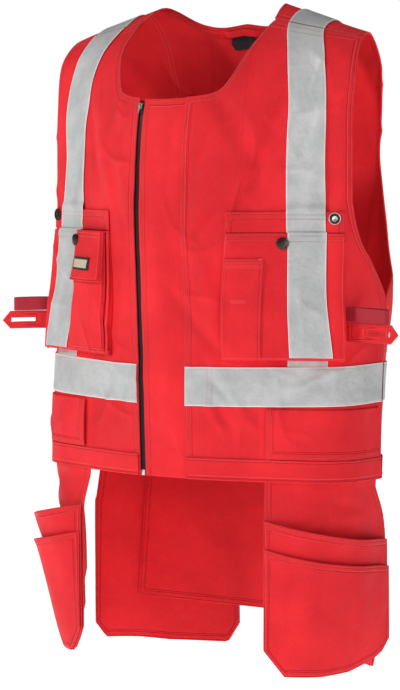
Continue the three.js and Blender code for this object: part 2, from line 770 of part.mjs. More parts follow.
function chestPocket(side) {
  const place = pocketPlace(side, MOUTH, CHEST_POCKET_HEIGHT);
  return dish(
    POCKET_COLUMNS, POCKET_STEPS, CHEST_POCKET_WIDTH, CHEST_POCKET_HEIGHT,
    place, pocketLift, POCKET_BASE, CLOTH,
  );
}

// A patch on the chest pocket. from and to are girths measured from the pocket's inner edge,
// high and low are distances below its mouth.
function onPocket(side, from, to, high, low, across, down, lift, thickness) {
  function place(a, b, height) {
    const distance = high + b * (low - high);
    const at = aboveHem(MOUTH - distance);
    const girth = pocketGirth(0, at) + from + a * (to - from);
    return FRONT.lifted(side * girth, at, height);
  }
  function rest(a, b) {
    const u = (from + a * (to - from)) / CHEST_POCKET_WIDTH;
    const v = (high + b * (low - high)) / CHEST_POCKET_HEIGHT;
    return pocketLift(u, v) + GAP + (typeof lift === 'function' ? lift(a, b) : lift);
  }
  return sheet(across, down, place, rest, thickness);
}

// Shares of a patch at which the pocket below it changes slope, so that both bend together
function pocketShares(steps, from, to, size) {
  const shares = steps.map((step) => (step * size - from) / (to - from));
  return [0, ...shares.filter((share) => share > 0.02 && share < 0.98), 1];
}

const PATCH_CLEARANCE = 0.4;
const PATCH_ABOVE_POCKET_END = 3;
const POCKET_END = CHEST_POCKET_HEIGHT - PATCH_ABOVE_POCKET_END;

function pocketPatch(side, from, to, high, low, lift, thickness) {
  const across = pocketShares(POCKET_COLUMNS, from, to, CHEST_POCKET_WIDTH);
  const down = pocketShares(POCKET_STEPS, high, low, CHEST_POCKET_HEIGHT);
  return onPocket(side, from, to, high, low, across, down, lift, thickness);
}

function tapeStart() {
  const at = aboveHem(MOUTH - CHEST_POCKET_HEIGHT / 2);
  return girthOf(FRONT, at, 'tape') - pocketGirth(0, at) - TAPE_WIDTH / 2;
}

const PEN_TOP = CHEST_POCKET_HEIGHT - PEN_POCKET_HEIGHT;
const PHONE_BESIDE_TAPE = 1;
const PHONE_FROM = tapeStart() - PHONE_POCKET_WIDTH - PHONE_BESIDE_TAPE;
const TAPE_BELOW_MOUTH = 2;
const PEN_FROM = 1.5;

for (const { name, side } of SIDES) {
  add(`pocket_facing_${name}`, facing(side), RED);
  add(`chest_pocket_${name}`, chestPocket(side), RED);
  const from = tapeStart();
  const to = from + TAPE_WIDTH;
  add(
    `pocket_tape_${name}`,
    pocketPatch(side, from, to, TAPE_BELOW_MOUTH, POCKET_END, PATCH_CLEARANCE, TAPE_THICKNESS),
    TAPE,
  );
}
add(
  'pen_pocket',
  pocketPatch(1, PEN_FROM, PEN_POCKET_WIDTH, PEN_TOP, POCKET_END, PATCH_CLEARANCE, PATCH_THICKNESS),
  RED,
);

function phoneBulge(a, b) {
  const across = Math.max(Math.sin(Math.PI * a), 0) ** 0.6;
  return PATCH_CLEARANCE + PHONE_DEPTH * across * Math.sin(Math.PI * (0.12 + 0.8 * b)) ** 0.6;
}

const FLAP_CLEARANCE = 0.6;

function flapBulge(a, b) {
  const share = (b * PHONE_FLAP_HEIGHT) / POCKET_END;
  return phoneBulge(a, share) + PATCH_THICKNESS + GAP + FLAP_CLEARANCE;
}

const PHONE_ACROSS = [0, 0.08, 0.25, 0.5, 0.75, 0.92, 1];
const PHONE_TO = PHONE_FROM + PHONE_POCKET_WIDTH;
const PHONE_DOWN = [0, 0.1, 0.2, 0.32, 0.42, 0.6, 0.8, 1];
add(
  'phone_pocket',
  onPocket(-1, PHONE_FROM, PHONE_TO, 0, POCKET_END, PHONE_ACROSS, PHONE_DOWN, phoneBulge, PATCH_THICKNESS),
  RED,
);
// The flap bends where the pocket under it does
const FLAP_BENDS = PHONE_DOWN.map((b) => (b * POCKET_END) / PHONE_FLAP_HEIGHT);
const FLAP_DOWN = FLAP_BENDS.filter((share) => share <= 1);
FLAP_DOWN[FLAP_DOWN.length - 1] = 1;
add(
  'phone_flap',
  onPocket(
    -1, PHONE_FROM, PHONE_TO, 0, PHONE_FLAP_HEIGHT, PHONE_ACROSS, FLAP_DOWN, flapBulge, PATCH_THICKNESS,
  ),
  RED,
);

// The label lies in the middle of the flap's width, its upper edge this share down the flap
const FLAP_LABEL_AT = 0.52;
const FLAP_LABEL_CLEARANCE = 0.5;
const FLAP_LABEL_INSET = (PHONE_POCKET_WIDTH - FLAP_LABEL_WIDTH) / 2;
const FLAP_LABEL_TOP = PHONE_FLAP_HEIGHT * FLAP_LABEL_AT;

function labelLift(a, b) {
  const across = (a * FLAP_LABEL_WIDTH + FLAP_LABEL_INSET) / PHONE_POCKET_WIDTH;
  const down = (b * FLAP_LABEL_HEIGHT + FLAP_LABEL_TOP) / PHONE_FLAP_HEIGHT;
  return flapBulge(across, down) + PATCH_THICKNESS + GAP + FLAP_LABEL_CLEARANCE;
}

const FLAP_LABEL_FROM = PHONE_FROM + FLAP_LABEL_INSET;
const FLAP_LABEL_TO = FLAP_LABEL_FROM + FLAP_LABEL_WIDTH;
const FLAP_LABEL_BOTTOM = FLAP_LABEL_TOP + FLAP_LABEL_HEIGHT;
add(
  'flap_label',
  onPocket(
    -1, FLAP_LABEL_FROM, FLAP_LABEL_TO, FLAP_LABEL_TOP, FLAP_LABEL_BOTTOM,
    evenly(3), [0, 1], labelLift, LABEL_THICKNESS,
  ),
  LABEL,
);

// Shares of a strip from one row to another at which the panel under it bends
const ROW_SPACING = 0.004;

function rowsBetween(steps, top, start, end, extra) {
  const rows = [...steps.map((b) => top + b * (1 - top)), ...extra].sort((p, q) => p - q);
  const inside = rows.filter((at) => at > start + ROW_SPACING && at < end - ROW_SPACING);
  return [0, ...inside.map((at) => (at - start) / (end - start)), 1];
}

// Vertical tape on the body: down the front from the shoulder seam to the pocket's mouth, and over
// the back. It climbs onto the pocket's facing strip just above it, between two rows.
const CLIMB_ABOVE_FACING = 0.02;
const CLIMB_LENGTH = 0.015;
const TAPE_LIFT_ON_CHEST = 0.6;
const BACK_TAPE_LIFT = 0.15;

function frontTape(side) {
  const end = aboveHem(MOUTH + FACING_CLEARANCE);
  const start = FRONT_SEAM_AT + SEAM_CLEARANCE;
  const onto = aboveHem(FACING_TOP) - CLIMB_ABOVE_FACING;
  const down = rowsBetween(FRONT_STEPS, start, start, end, [onto, onto + CLIMB_LENGTH]);
  function place(a, b, height) {
    const at = start + b * (end - start);
    return FRONT.lifted(side * (girthOf(FRONT, at, 'tape') + (a - 0.5) * TAPE_WIDTH), at, height);
  }
  function low(a, b) {
    const at = start + b * (end - start);
    const risen = THREE.MathUtils.clamp((at - onto) / CLIMB_LENGTH, 0, 1);
    const overChest = TAPE_LIFT_ON_CHEST * THREE.MathUtils.clamp(1.4 - b * 5, 0, 1);
    return POCKET_BASE + overChest + risen * (FACING_BASE - POCKET_BASE + FACING_THICKNESS + GAP);
  }
  return sheet(evenly(3), down, place, low, TAPE_THICKNESS);
}

function backTape(side) {
  const end = aboveHem(WAIST_TAPE_ABOVE_HEM + TAPE_WIDTH + SEAM_GAP);
  const start = BACK_SEAM_AT + SEAM_CLEARANCE;
  function place(a, b, height) {
    const at = start + b * (end - start);
    return BACK.lifted(side * (girthOf(BACK, at, 'tape') + (a - 0.5) * TAPE_WIDTH), at, height);
  }
  const down = rowsBetween(BACK_STEPS, BACK_SEAM_AT, start, end, []);
  return sheet(evenly(3), down, place, POCKET_BASE + BACK_TAPE_LIFT, TAPE_THICKNESS);
}

for (const { name, side } of SIDES) {
  add(`front_tape_${name}`, frontTape(side), TAPE);
  add(`back_tape_${name}`, backTape(side), TAPE);
}

// Press studs and caps: a disc turned to the cloth's outward direction.
// The profile gives shares of the disc's radius and of its thickness.
const STUD_PROFILE = [[0, 0], [0.9, 0], [1, 0.4], [0.86, 1], [0, 1]];
const STUD_SEGMENTS = 16;

function discOn(name, side, girth, at, lift, material) {
  const radius = STUD_DIAMETER / 2;
  const profile = STUD_PROFILE.map(([r, h]) => new THREE.Vector2(r * radius, h * STUD_THICKNESS));
  const disc = new THREE.LatheGeometry(profile, STUD_SEGMENTS);
  disc.deleteAttribute('normal');
  disc.deleteAttribute('uv');
  const positions = [];
  const flat = disc.toNonIndexed().getAttribute('position');
  for (let i = 0; i < flat.count; i += 1) positions.push(flat.getX(i), flat.getY(i), flat.getZ(i));
  const mesh = add(name, closed(positions), material);
  const foot = FRONT.lifted(side * girth, at, lift);
  const outward = FRONT.lifted(side * girth, at, lift + 1).sub(foot);
  mesh.position.copy(foot);
  mesh.quaternion.setFromUnitVectors(new THREE.Vector3(0, 1, 0), outward.normalize());
}

const STUD_FROM_TOP = 8;
const STUD_FROM_EDGE = 13;
const CAP_BELOW_MOUTH = 13;
const CAP_FROM_TAPE = 2;
const DISC_CLEARANCE = 0.5;
const CAP_FROM = tapeStart() - STUD_DIAMETER / 2 - CAP_FROM_TAPE;

// The cap's seat above the cloth: on the left the pocket, on the right the phone pocket's flap
const CAP_ABOVE_FLAP = 1.2;

function capLift(side) {
  const pocket = pocketLift(CAP_FROM / CHEST_POCKET_WIDTH, CAP_BELOW_MOUTH / CHEST_POCKET_HEIGHT);
  if (side > 0) return pocket + GAP;
  const across = (CAP_FROM - PHONE_FROM) / PHONE_POCKET_WIDTH;
  const flap = flapBulge(across, CAP_BELOW_MOUTH / PHONE_FLAP_HEIGHT);
  return pocket + flap + PATCH_THICKNESS + CAP_ABOVE_FLAP;
}

for (const { name, side } of SIDES) {
  const studAt = aboveHem(FACING_TOP - STUD_FROM_TOP);
  const studLift = FACING_BASE + FACING_THICKNESS + DISC_CLEARANCE;
  discOn(`stud_${name}`, side, pocketGirth(1, studAt) - STUD_FROM_EDGE, studAt, studLift, STEEL);
  const capAt = aboveHem(MOUTH - CAP_BELOW_MOUTH);
  const capGirth = pocketGirth(0, capAt) + CAP_FROM;
  discOn(`cap_${name}`, side, capGirth, capAt, capLift(side) + DISC_CLEARANCE, BRONZE);
}

// Hand pockets below the waist tape, open at their inner edge
const HAND_POCKET_CLEARANCE = 2;
const HAND_POCKET_FROM_SIDE = 6;
const HAND_POCKET_ACROSS = [0, 0.12, 0.33, 0.45, 0.55, 0.66, 0.77, 0.88, 1];

function handPocket(side) {
  const high = WAIST_TAPE_ABOVE_HEM - WAIST_TAPE_SAG - HAND_POCKET_CLEARANCE;
  const low = WAISTBAND_HEIGHT + HAND_POCKET_CLEARANCE;
  function place(a, b, lift) {
    const at = aboveHem(high - b * (high - low));
    const edge = girthOf(FRONT, at, 'side') - HAND_POCKET_FROM_SIDE;
    return FRONT.lifted(side * (edge - (1 - a) * HAND_POCKET_WIDTH), at, lift);
  }
  function lifted(a, b) {
    return POCKET_BASE + HAND_POCKET_LIFT * Math.max(0, 1 - a * 3) * Math.sin(Math.PI * (0.15 + 0.7 * b));
  }
  return sheet(HAND_POCKET_ACROSS, evenly(3), place, lifted, CLOTH);
}

for (const { name, side } of SIDES) add(`hand_pocket_${name}`, handPocket(side), RED);

// Loops at the side of the chest pockets. ROOT_BEYOND_CORNER is how far outside the chest's corner
// they are sewn on. They turn forwards from straight sideways by LOOP_TURN radians.
const ROOT_BEYOND_CORNER = { right: 4, left: -2 };
const LOOP_ROOT_CLEARANCE = 0.1;
const LOOP_TURN = { right: 0.42, left: 0.08 };

function loopRoot(name, side, distance) {
  const at = aboveHem(distance);
  const girth = girthOf(FRONT, at, 'corner') + ROOT_BEYOND_CORNER[name];
  return FRONT.lifted(side * girth, at, POCKET_BASE - LOOP_ROOT_CLEARANCE);
}

function placeLoop(mesh, name, side, distance) {
  mesh.position.copy(loopRoot(name, side, distance));
  mesh.rotation.z = side > 0 ? -LOOP_TURN[name] : Math.PI + LOOP_TURN[name];
}

// Shares of the webbing's reach at which its eye begins and at which it is fully open
const EYE_FROM = 0.12;
const EYE_OPEN_AT = 0.45;

function webbingShape() {
  const reach = WEBBING_REACH;
  const half = WEBBING_OPEN / 2 + WEBBING_THICKNESS;
  const outline = new THREE.Shape();
  outline.moveTo(0, -WEBBING_THICKNESS);
  outline.lineTo(reach * EYE_OPEN_AT, -half);
  outline.lineTo(reach - half, -half);
  outline.absarc(reach - half, 0, half, -Math.PI / 2, Math.PI / 2, false);
  outline.lineTo(reach * EYE_OPEN_AT, half);
  outline.lineTo(0, WEBBING_THICKNESS);
  outline.closePath();
  const inside = WEBBING_OPEN / 2;
  const hole = new THREE.Path();
  hole.moveTo(reach * EYE_FROM, 0);
  hole.lineTo(reach * EYE_OPEN_AT, inside);
  hole.lineTo(reach - half, inside);
  hole.absarc(reach - half, 0, inside, Math.PI / 2, -Math.PI / 2, true);
  hole.lineTo(reach * EYE_OPEN_AT, -inside);
  hole.closePath();
  outline.holes.push(hole);
  return outline;
}

// The tab's point is this share of half its height long
const TAB_POINT = 0.9;

function tabShape() {
  const half = TAB_HEIGHT / 2;
  const outline = new THREE.Shape();
  outline.moveTo(0, -half);
  outline.lineTo(TAB_REACH - half * TAB_POINT, -half);
  outline.lineTo(TAB_REACH, 0);
  outline.lineTo(TAB_REACH - half * TAB_POINT, half);
  outline.lineTo(0, half);
  outline.closePath();
  const slot = new THREE.Path();
  const from = TAB_REACH - half - TAB_SLOT_LENGTH;
  slot.moveTo(from, -TAB_SLOT_HEIGHT / 2);
  slot.lineTo(from, TAB_SLOT_HEIGHT / 2);
  slot.lineTo(from + TAB_SLOT_LENGTH, TAB_SLOT_HEIGHT / 2);
  slot.lineTo(from + TAB_SLOT_LENGTH, -TAB_SLOT_HEIGHT / 2);
  slot.closePath();
  outline.holes.push(slot);
  return outline;
}

function extruded(shape, depth, curveSegments) {
  const solid = new THREE.ExtrudeGeometry(shape, { depth, bevelEnabled: false, curveSegments });
  solid.deleteAttribute('normal');
  solid.deleteAttribute('uv');
  return solid;
}

const WEBBING_BELOW_MOUTH = 93;
const WEBBING_TOP = MOUTH - WEBBING_BELOW_MOUTH;
const TAB_TOP = WEBBING_TOP - WEBBING_WIDTH - LOOP_SPACING;
for (const { name, side } of SIDES) {
  const webbing = extruded(webbingShape(), WEBBING_WIDTH, 8);
  webbing.translate(0, 0, -WEBBING_WIDTH / 2);
  placeLoop(add(`webbing_loop_${name}`, webbing, WEBBING), name, side, WEBBING_TOP - WEBBING_WIDTH / 2);
  const tab = extruded(tabShape(), TAB_THICKNESS, 1);
  tab.translate(0, 0, -TAB_THICKNESS / 2);
  tab.rotateX(Math.PI / 2);
  placeLoop(add(`tab_loop_${name}`, tab, RED), name, side, TAB_TOP - TAB_HEIGHT / 2);
}

// Front holsters: a backing sewn inside the hem, with two pouches on it.
// SEWN_ROWS are the rows that follow the hem, as shares of HOLSTER_LENGTH under it.
const SEWN_ROWS = [-TUCK / HOLSTER_LENGTH, 0, 0.03];

function holsterSurface() {
  const tucked = SEWN_ROWS.map((below) => {
    const at = aboveHem(Math.max(-below * HOLSTER_LENGTH, 0));
    const edge = girthOf(FRONT, at, 'side') * HOLSTER_HEM.back;
    const start = edge - girthOf(FRONT, at, 'side') * HOLSTER_HEM.width;
    const stations = evenly(3).map((share) => {
      const place = FRONT.lifted(start + share * (edge - start), at, UNDER - LAYER_GAP);
      return [place.x, place.y];
    });
    return { below, stations };
  });
  const hanging = HOLSTER_ROWS.map((row) => ({
    below: row.below,
    stations: row.stations.map(([x, y]) => [x * HALF_WIDTH, y * FRONT_DEPTH]),
  }));
  const rows = [...tucked, ...hanging];
  const knots = column(rows, 'below');
  function lineAt(at) {
    const points = evenly(3).map((_, k) => [
      smooth(knots, rows.map((row) => row.stations[k][0]), at),
      smooth(knots, rows.map((row) => row.stations[k][1]), at),
    ]);
    return lineThrough(points, false);
  }
  return surfaceOf(lineAt, (at) => HEM_Z - at * HOLSTER_LENGTH, -1, false);
}

const HOLSTER = holsterSurface();

function cutAt(profile, across) {
  return straight(column(profile, 'across'), column(profile, 'cut'), across);
}

function holsterPlace(side, mouthBelow, slope) {
  return (a, b, height) => {
    const top = (mouthBelow + slope * a) / HOLSTER_LENGTH;
    const bottom = 1 - cutAt(HOLSTER_BASE, a);
    const at = top + b * (bottom - top);
    const width = HOLSTER.line(at).girth.at(-1);
    return HOLSTER.lifted(side * a * width, at, height);
  };
}

function bulge(depth, a, b) {
  return depth * Math.max(Math.sin(Math.PI * a), 0) ** 0.75 * Math.max(1 - b, 0) ** 0.8;
}

const HOLSTER_ACROSS = [0, 0.06, 0.15, 0.27, 0.4, 0.62, 0.84, 0.93, 1];
const BACKING_DOWN = [0, 0.06, 0.16, 0.3, 0.5, 0.75, 1];
const POUCH_DOWN = [0, 0.15, 0.35, 0.6, 1];
const POUCH_EDGE = 0.8;

function innerLift(a, b) {
  return CLOTH + POUCH_EDGE + bulge(INNER_BULGE, a, b);
}

function outerLift(a, b) {
  const outerMouth = OUTER_MOUTH_BELOW + MOUTH_SLOPE * a;
  const depth = outerMouth + b * (HOLSTER_LENGTH - outerMouth);
  const innerMouth = INNER_MOUTH_BELOW + MOUTH_SLOPE * a;
  const onInner = (depth - innerMouth) / (HOLSTER_LENGTH - innerMouth);
  return innerLift(a, onInner) + CLOTH + POUCH_EDGE + bulge(OUTER_BULGE, a, b);
}

for (const { name, side } of SIDES) {
  const backing = holsterPlace(side, -TUCK, 0);
  add(`holster_${name}`, sheet(HOLSTER_ACROSS, BACKING_DOWN, backing, 0, CLOTH), RED);
  const inner = holsterPlace(side, INNER_MOUTH_BELOW, MOUTH_SLOPE);
  add(`inner_pouch_${name}`, sheet(HOLSTER_ACROSS, POUCH_DOWN, inner, innerLift, CLOTH), RED);
  const outer = holsterPlace(side, OUTER_MOUTH_BELOW, MOUTH_SLOPE);
  add(`outer_pouch_${name}`, sheet(HOLSTER_ACROSS, POUCH_DOWN, outer, outerLift, CLOTH), RED);
}

// Rear pouches and tail flap: cloth that hangs from inside the back's hem
function hangBehind(girth, below, inset) {
  const at = aboveHem(Math.max(-below, 0));
  const place = BACK.lifted(girth, at, -inset);
  if (below > 0) place.z = HEM_Z - below;
  return place;
}

// Below the hem a rear pouch's outer edge hangs further out by REAR_FLARE, reached over the first
// quarter of its length. The left one hangs inwards, behind its holster.
const REAR_FLARE = { right: 9, left: -8 };
const REAR_FLARE_OVER = 0.25;
const REAR_FROM_CORNER = 4;
const REAR_INSET = CLOTH + LAYER_GAP;
const TAIL_CLEARANCE = 1.5;
const TAIL_INSET = 2 * REAR_INSET + TAIL_CLEARANCE;

function rearPlace(name, side, from) {
  const outerEdge = girthOf(BACK, 1, 'corner') - REAR_FROM_CORNER;
  return (a, b, height) => {
    const bottom = REAR_POUCH_LENGTH * (1 - cutAt(REAR_BASE, a));
    const below = from + b * (bottom - from);
    const settled = THREE.MathUtils.clamp(below / (REAR_POUCH_LENGTH * REAR_FLARE_OVER), 0, 1);
    const girth = outerEdge - a * (outerEdge - REAR_POUCH_INNER_EDGE) + settled * REAR_FLARE[name] * (1 - a);
    return hangBehind(side * girth, below, REAR_INSET - height);
  };
}

const REAR_ACROSS = [0, 0.07, 0.22, 0.36, 0.5, 0.64, 0.78, 0.92, 1];
const REAR_DOWN = [0, 0.055, 0.12, 0.3, 0.6, 1];
const REAR_POCKET_DOWN = [0, 0.2, 0.45, 0.7, 1];

function rearLift(a, b) {
  return CLOTH + POUCH_EDGE + bulge(REAR_BULGE, a, b);
}

for (const { name, side } of SIDES) {
  const backing = rearPlace(name, side, -TUCK);
  add(`rear_pouch_${name}`, sheet(REAR_ACROSS, REAR_DOWN, backing, 0, CLOTH), RED);
  const pocket = rearPlace(name, side, REAR_POCKET_BELOW);
  add(`rear_pocket_${name}`, sheet(REAR_ACROSS, REAR_POCKET_DOWN, pocket, rearLift, CLOTH), RED);
}

// The tail flap is longer at its middle and wider at its foot by these shares
const TAIL_MIDDLE_LONGER = 0.02;
const TAIL_FOOT_WIDER = 0.09;
const TAIL_DOWN = [0, 0.07, 0.14, 0.35, 0.6, 0.8, 1];

function tailFlap() {
  function place(a, b, height) {
    const bottom = TAIL_LENGTH * (1 + TAIL_MIDDLE_LONGER * (1 - a * a));
    const below = -TUCK + b * (bottom + TUCK);
    const widen = 1 + TAIL_FOOT_WIDER * THREE.MathUtils.clamp(below / TAIL_LENGTH, 0, 1);
    return hangBehind(a * TAIL_HALF_WIDTH * widen, below, TAIL_INSET - height);
  }
  return sheet(evenly(14, -1, 1), TAIL_DOWN, place, 0, CLOTH);
}
add('tail_flap', tailFlap(), RED);

export default vest;
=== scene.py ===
# %% [markdown]
# # A red utility work vest
# The vest is coated red cloth with silver tape, chest pockets, side loops and hanging tool pouches.
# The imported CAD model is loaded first. It gives the frame, so that every piece made here goes where
# the model says, in metres, with +Z up and the wearer facing -Y.

# %% Load the frame
import bpy
import math
import numpy as np
from mathutils import Matrix, Vector


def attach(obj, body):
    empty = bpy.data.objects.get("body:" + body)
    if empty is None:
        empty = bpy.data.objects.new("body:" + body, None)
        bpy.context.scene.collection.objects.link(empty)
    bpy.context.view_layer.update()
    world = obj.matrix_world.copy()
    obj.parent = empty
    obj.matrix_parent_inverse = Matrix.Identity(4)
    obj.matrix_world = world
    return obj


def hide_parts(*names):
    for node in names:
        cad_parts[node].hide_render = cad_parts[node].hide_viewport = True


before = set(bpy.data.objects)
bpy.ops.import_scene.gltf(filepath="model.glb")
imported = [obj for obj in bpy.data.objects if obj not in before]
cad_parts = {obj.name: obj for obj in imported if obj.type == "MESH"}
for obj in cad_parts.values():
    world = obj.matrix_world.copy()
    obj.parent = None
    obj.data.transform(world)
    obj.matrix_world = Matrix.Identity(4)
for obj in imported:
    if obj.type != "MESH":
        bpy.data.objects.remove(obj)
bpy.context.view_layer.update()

# %% [markdown]
# ## Camera
# The photograph was taken from the front, a little to the wearer's left, with a long lens. A camera
# 3.5 m away with a narrow field of view gives the same mild perspective. It aims at a point of the
# vest, and the sensor is fitted to the height, because the picture is taller than it is wide.

# %% Camera
def aim(thing, target):
    direction = Vector(target) - thing.location
    thing.rotation_euler = direction.to_track_quat("-Z", "Y").to_euler()


def add_camera():
    data = bpy.data.cameras.new("studio_camera")
    data.sensor_fit = "VERTICAL"
    data.sensor_height = 24
    data.lens = 91.53
    camera = bpy.data.objects.new("studio_camera", data)
    camera.location = (1.9062, -2.9353, -0.178)
    bpy.context.collection.objects.link(camera)
    aim(camera, (-0.0279, -0.0181, -0.4267))
    bpy.context.scene.camera = camera
    return camera


print("Camera at", [round(v, 3) for v in add_camera().location])

# %% [markdown]
# ## Light and floor
# Product pictures of clothes use large soft lamps, so that folds show as gentle shading. A bright
# world fills the shadows, a wide lamp from the left gives the form, and a second one lights the
# right side. The floor is plain and pale, far enough below for its shadow to stay faint.

# %% Light and floor
def add_lamp(name, place, target, size, power):
    data = bpy.data.lights.new(name, "AREA")
    data.shape = "DISK"
    data.size = size
    data.energy = power
    lamp = bpy.data.objects.new(name, data)
    lamp.location = place
    bpy.context.collection.objects.link(lamp)
    aim(lamp, target)
    return lamp


def light_world(fill):
    """A white backdrop that lights the vest only as strongly as fill."""
    world = bpy.data.worlds.new("studio_world")
    world.use_nodes = True
    tree = world.node_tree
    background = tree.nodes["Background"]
    background.inputs["Color"].default_value = (1, 1, 1, 1)
    seen = tree.nodes.new("ShaderNodeLightPath").outputs["Is Camera Ray"]
    strength = tree.nodes.new("ShaderNodeMapRange")
    strength.inputs["To Min"].default_value = fill
    strength.inputs["To Max"].default_value = 1.0
    tree.links.new(seen, strength.inputs["Value"])
    tree.links.new(strength.outputs[0], background.inputs["Strength"])
    bpy.context.scene.world = world


light_world(0.1)
add_lamp("key_lamp", (-1.9, -2.7, 1.2), (0, 0, -0.4), 0.6, 56)
add_lamp("front_lamp", (2.6, -2.2, 0.0), (0, 0, -0.45), 1.0, 19)
add_lamp("top_lamp", (0.6, 0.3, 2.6), (0, 0, -0.3), 1.2, 12)
bpy.context.scene.view_settings.view_transform = "Standard"


def plain_floor(height):
    bpy.ops.object.select_all(action="DESELECT")
    bpy.ops.mesh.primitive_plane_add(size=60, location=(0, 0, height))
    floor = bpy.context.object
    floor.name = "studio_floor"
    bpy.ops.object.transform_apply(location=True, rotation=True, scale=True)
    pale = bpy.data.materials.new("pale_floor")
    pale.use_nodes = True
    shader = pale.node_tree.nodes["Principled BSDF"]
    shader.inputs["Base Color"].default_value = (0.9, 0.9, 0.9, 1)
    shader.inputs["Roughness"].default_value = 0.9
    shader.inputs["Emission Color"].default_value = (1, 1, 1, 1)
    shader.inputs["Emission Strength"].default_value = 0.95
    floor.data.materials.append(pale)
    return floor


print("Floor at", plain_floor(-1.3).name)

# %% [markdown]
# ## The shape of the body
# The body of the vest is given by rows of stations, from the shoulder down to the hem. Each row
# says where the cloth passes at the centre, under the tape, at the corner of the chest and at the
# side seam. A smooth curve through the stations gives the row, and a smooth curve through the rows
# gives the cloth. Sizes here are millimetres, as a maker would write them, and become metres when a
# mesh is made.

# %% Driving sizes
HALF_WIDTH, FRONT_DEPTH, BACK_DEPTH = 242, 164, 92
BODY_LENGTH, SHOULDER_RISE = 587, -2
NECK_HALF_WIDTH, FRONT_NECK_DROP = 104, 118
CLOTH, LAYER_GAP, GAP = 2.0, 0.85, 0.3
HEM_Z = SHOULDER_RISE - BODY_LENGTH
NECK_POINT_Z = SHOULDER_RISE + 0.032 * BODY_LENGTH
FRONT_SEAM, BACK_SEAM = 0.03, -0.07
ZIP_SIDE, ZIP_OPENING = 33, 7
LOW = CLOTH + LAYER_GAP

# %% Rows of the body
# Each row: place along the cloth, drop, tilt, then x and y shares at tape, corner and side, and
# the centre's y share.
CHEST = (0.078, 0.12, 0.692, -0.409, 0.953, -0.3, 0.975, 0, -0.73)
SEAM = (0.02, 0.2, 0.632, -0.268, 0.932, -0.16, 0.96, 0.02, -0.235)
RIDGE = (0, 0.33, 0.62, 0, 0.917, 0, 0.935, 0.12, 0.05)
FRONT_ROWS = [
    (-0.03, *RIDGE),
    (0.03, *SEAM),
    (0.088, *CHEST),
    (0.189, 0.189, 0.02, 0.736, -0.5, 0.95, -0.37, 0.99, 0, -0.915),
    (0.307, 0.307, 0, 0.734, -0.523, 0.95, -0.372, 0.992, -0.01, -0.988),
    (0.442, 0.442, 0, 0.738, -0.529, 0.946, -0.366, 0.998, 0.02, -1),
    (0.604, 0.604, 0, 0.752, -0.534, 0.93, -0.378, 1, 0.024, -0.963),
    (0.737, 0.737, 0, 0.773, -0.585, 0.938, -0.402, 1, -0.024, -0.933),
    (0.863, 0.863, 0, 0.773, -0.616, 0.946, -0.421, 0.996, -0.037, -0.915),
    (1, 1, 0, 0.773, -0.634, 0.95, -0.427, 0.996, -0.049, -0.89),
]
BACK_ROWS = [
    (-0.13, *CHEST),
    (-0.07, *SEAM),
    (0, *RIDGE),
    (0.075, 0.054, 0.25, 0.624, 0.46, 0.917, 0.22, 0.95, 0, 0.52),
    (0.125, 0.105, 0.15, 0.632, 0.63, 0.913, 0.29, 0.955, 0, 0.72),
    (0.2, 0.181, 0.04, 0.669, 0.74, 0.888, 0.39, 0.94, 0, 0.9),
    (0.307, 0.3, 0, 0.711, 0.8, 0.88, 0.4, 0.95, 0, 1),
    (0.464, 0.464, 0, 0.731, 0.83, 0.926, 0.44, 0.98, 0.01, 1),
    (0.604, 0.604, 0, 0.736, 0.82, 0.97, 0.36, 1, 0.024, 0.99),
    (0.737, 0.737, 0, 0.73, 0.78, 0.952, 0.27, 1, -0.024, 0.98),
    (0.863, 0.863, 0, 0.725, 0.73, 0.93, 0.24, 0.996, -0.037, 0.96),
    (1, 1, 0, 0.722, 0.7, 0.92, 0.23, 0.996, -0.049, 0.93),
]
FRONT_ARMHOLE = [
    (0.39, 0), (0.442, 0.1), (0.49, 0.3), (0.526, 0.54), (0.56, 0.78), (0.585, 0.93), (0.604, 1),
]
BACK_ARMHOLE = [(0.5, 0), (0.54, 0.14), (0.566, 0.4), (0.585, 0.7), (0.604, 1)]
FRONT_NECKLINE = [
    (-0.5, 0.99), (0, 1), (0.385, 0.985), (0.596, 0.95), (0.731, 0.88),
    (0.827, 0.74), (0.9, 0.56), (0.96, 0.38), (1, 0.16),
]
BACK_NECKLINE = [(0, 0.084), (0.35, 0.078), (0.62, 0.06), (0.82, 0.03), (0.94, -0.01), (1, -0.07)]


# %% Smooth curves through values
def smooth(knots, values, at):
    """A curve through values, with slopes taken from their neighbours."""
    knots, values, at = (np.asarray(v, float) for v in (knots, values, at))
    count = len(knots)
    before = np.maximum(np.arange(count) - 1, 0)
    after = np.minimum(np.arange(count) + 1, count - 1)
    slope = (values[after] - values[before]) / (knots[after] - knots[before])
    i = np.clip(np.searchsorted(knots[1:], at, side="left"), 0, count - 2)
    span = knots[i + 1] - knots[i]
    t = (at - knots[i]) / span
    start, end = slope[i] * span, slope[i + 1] * span
    rise = values[i + 1] - values[i]
    return values[i] + t * (start + t * (3 * rise - 2 * start - end + t * (start + end - 2 * rise)))


def through(table, at):
    """The smooth curve through a table of (knot, value) pairs."""
    return smooth([row[0] for row in table], [row[1] for row in table], at)


def soft_step(low, high, value):
    t = np.clip((np.asarray(value, float) - low) / (high - low), 0, 1)
    return t * t * (3 - 2 * t)


# %% A surface kept as a fine table of points
GIRTH_STEP, GIRTH_START, GIRTH_COUNT = 2.0, -8.0, 236


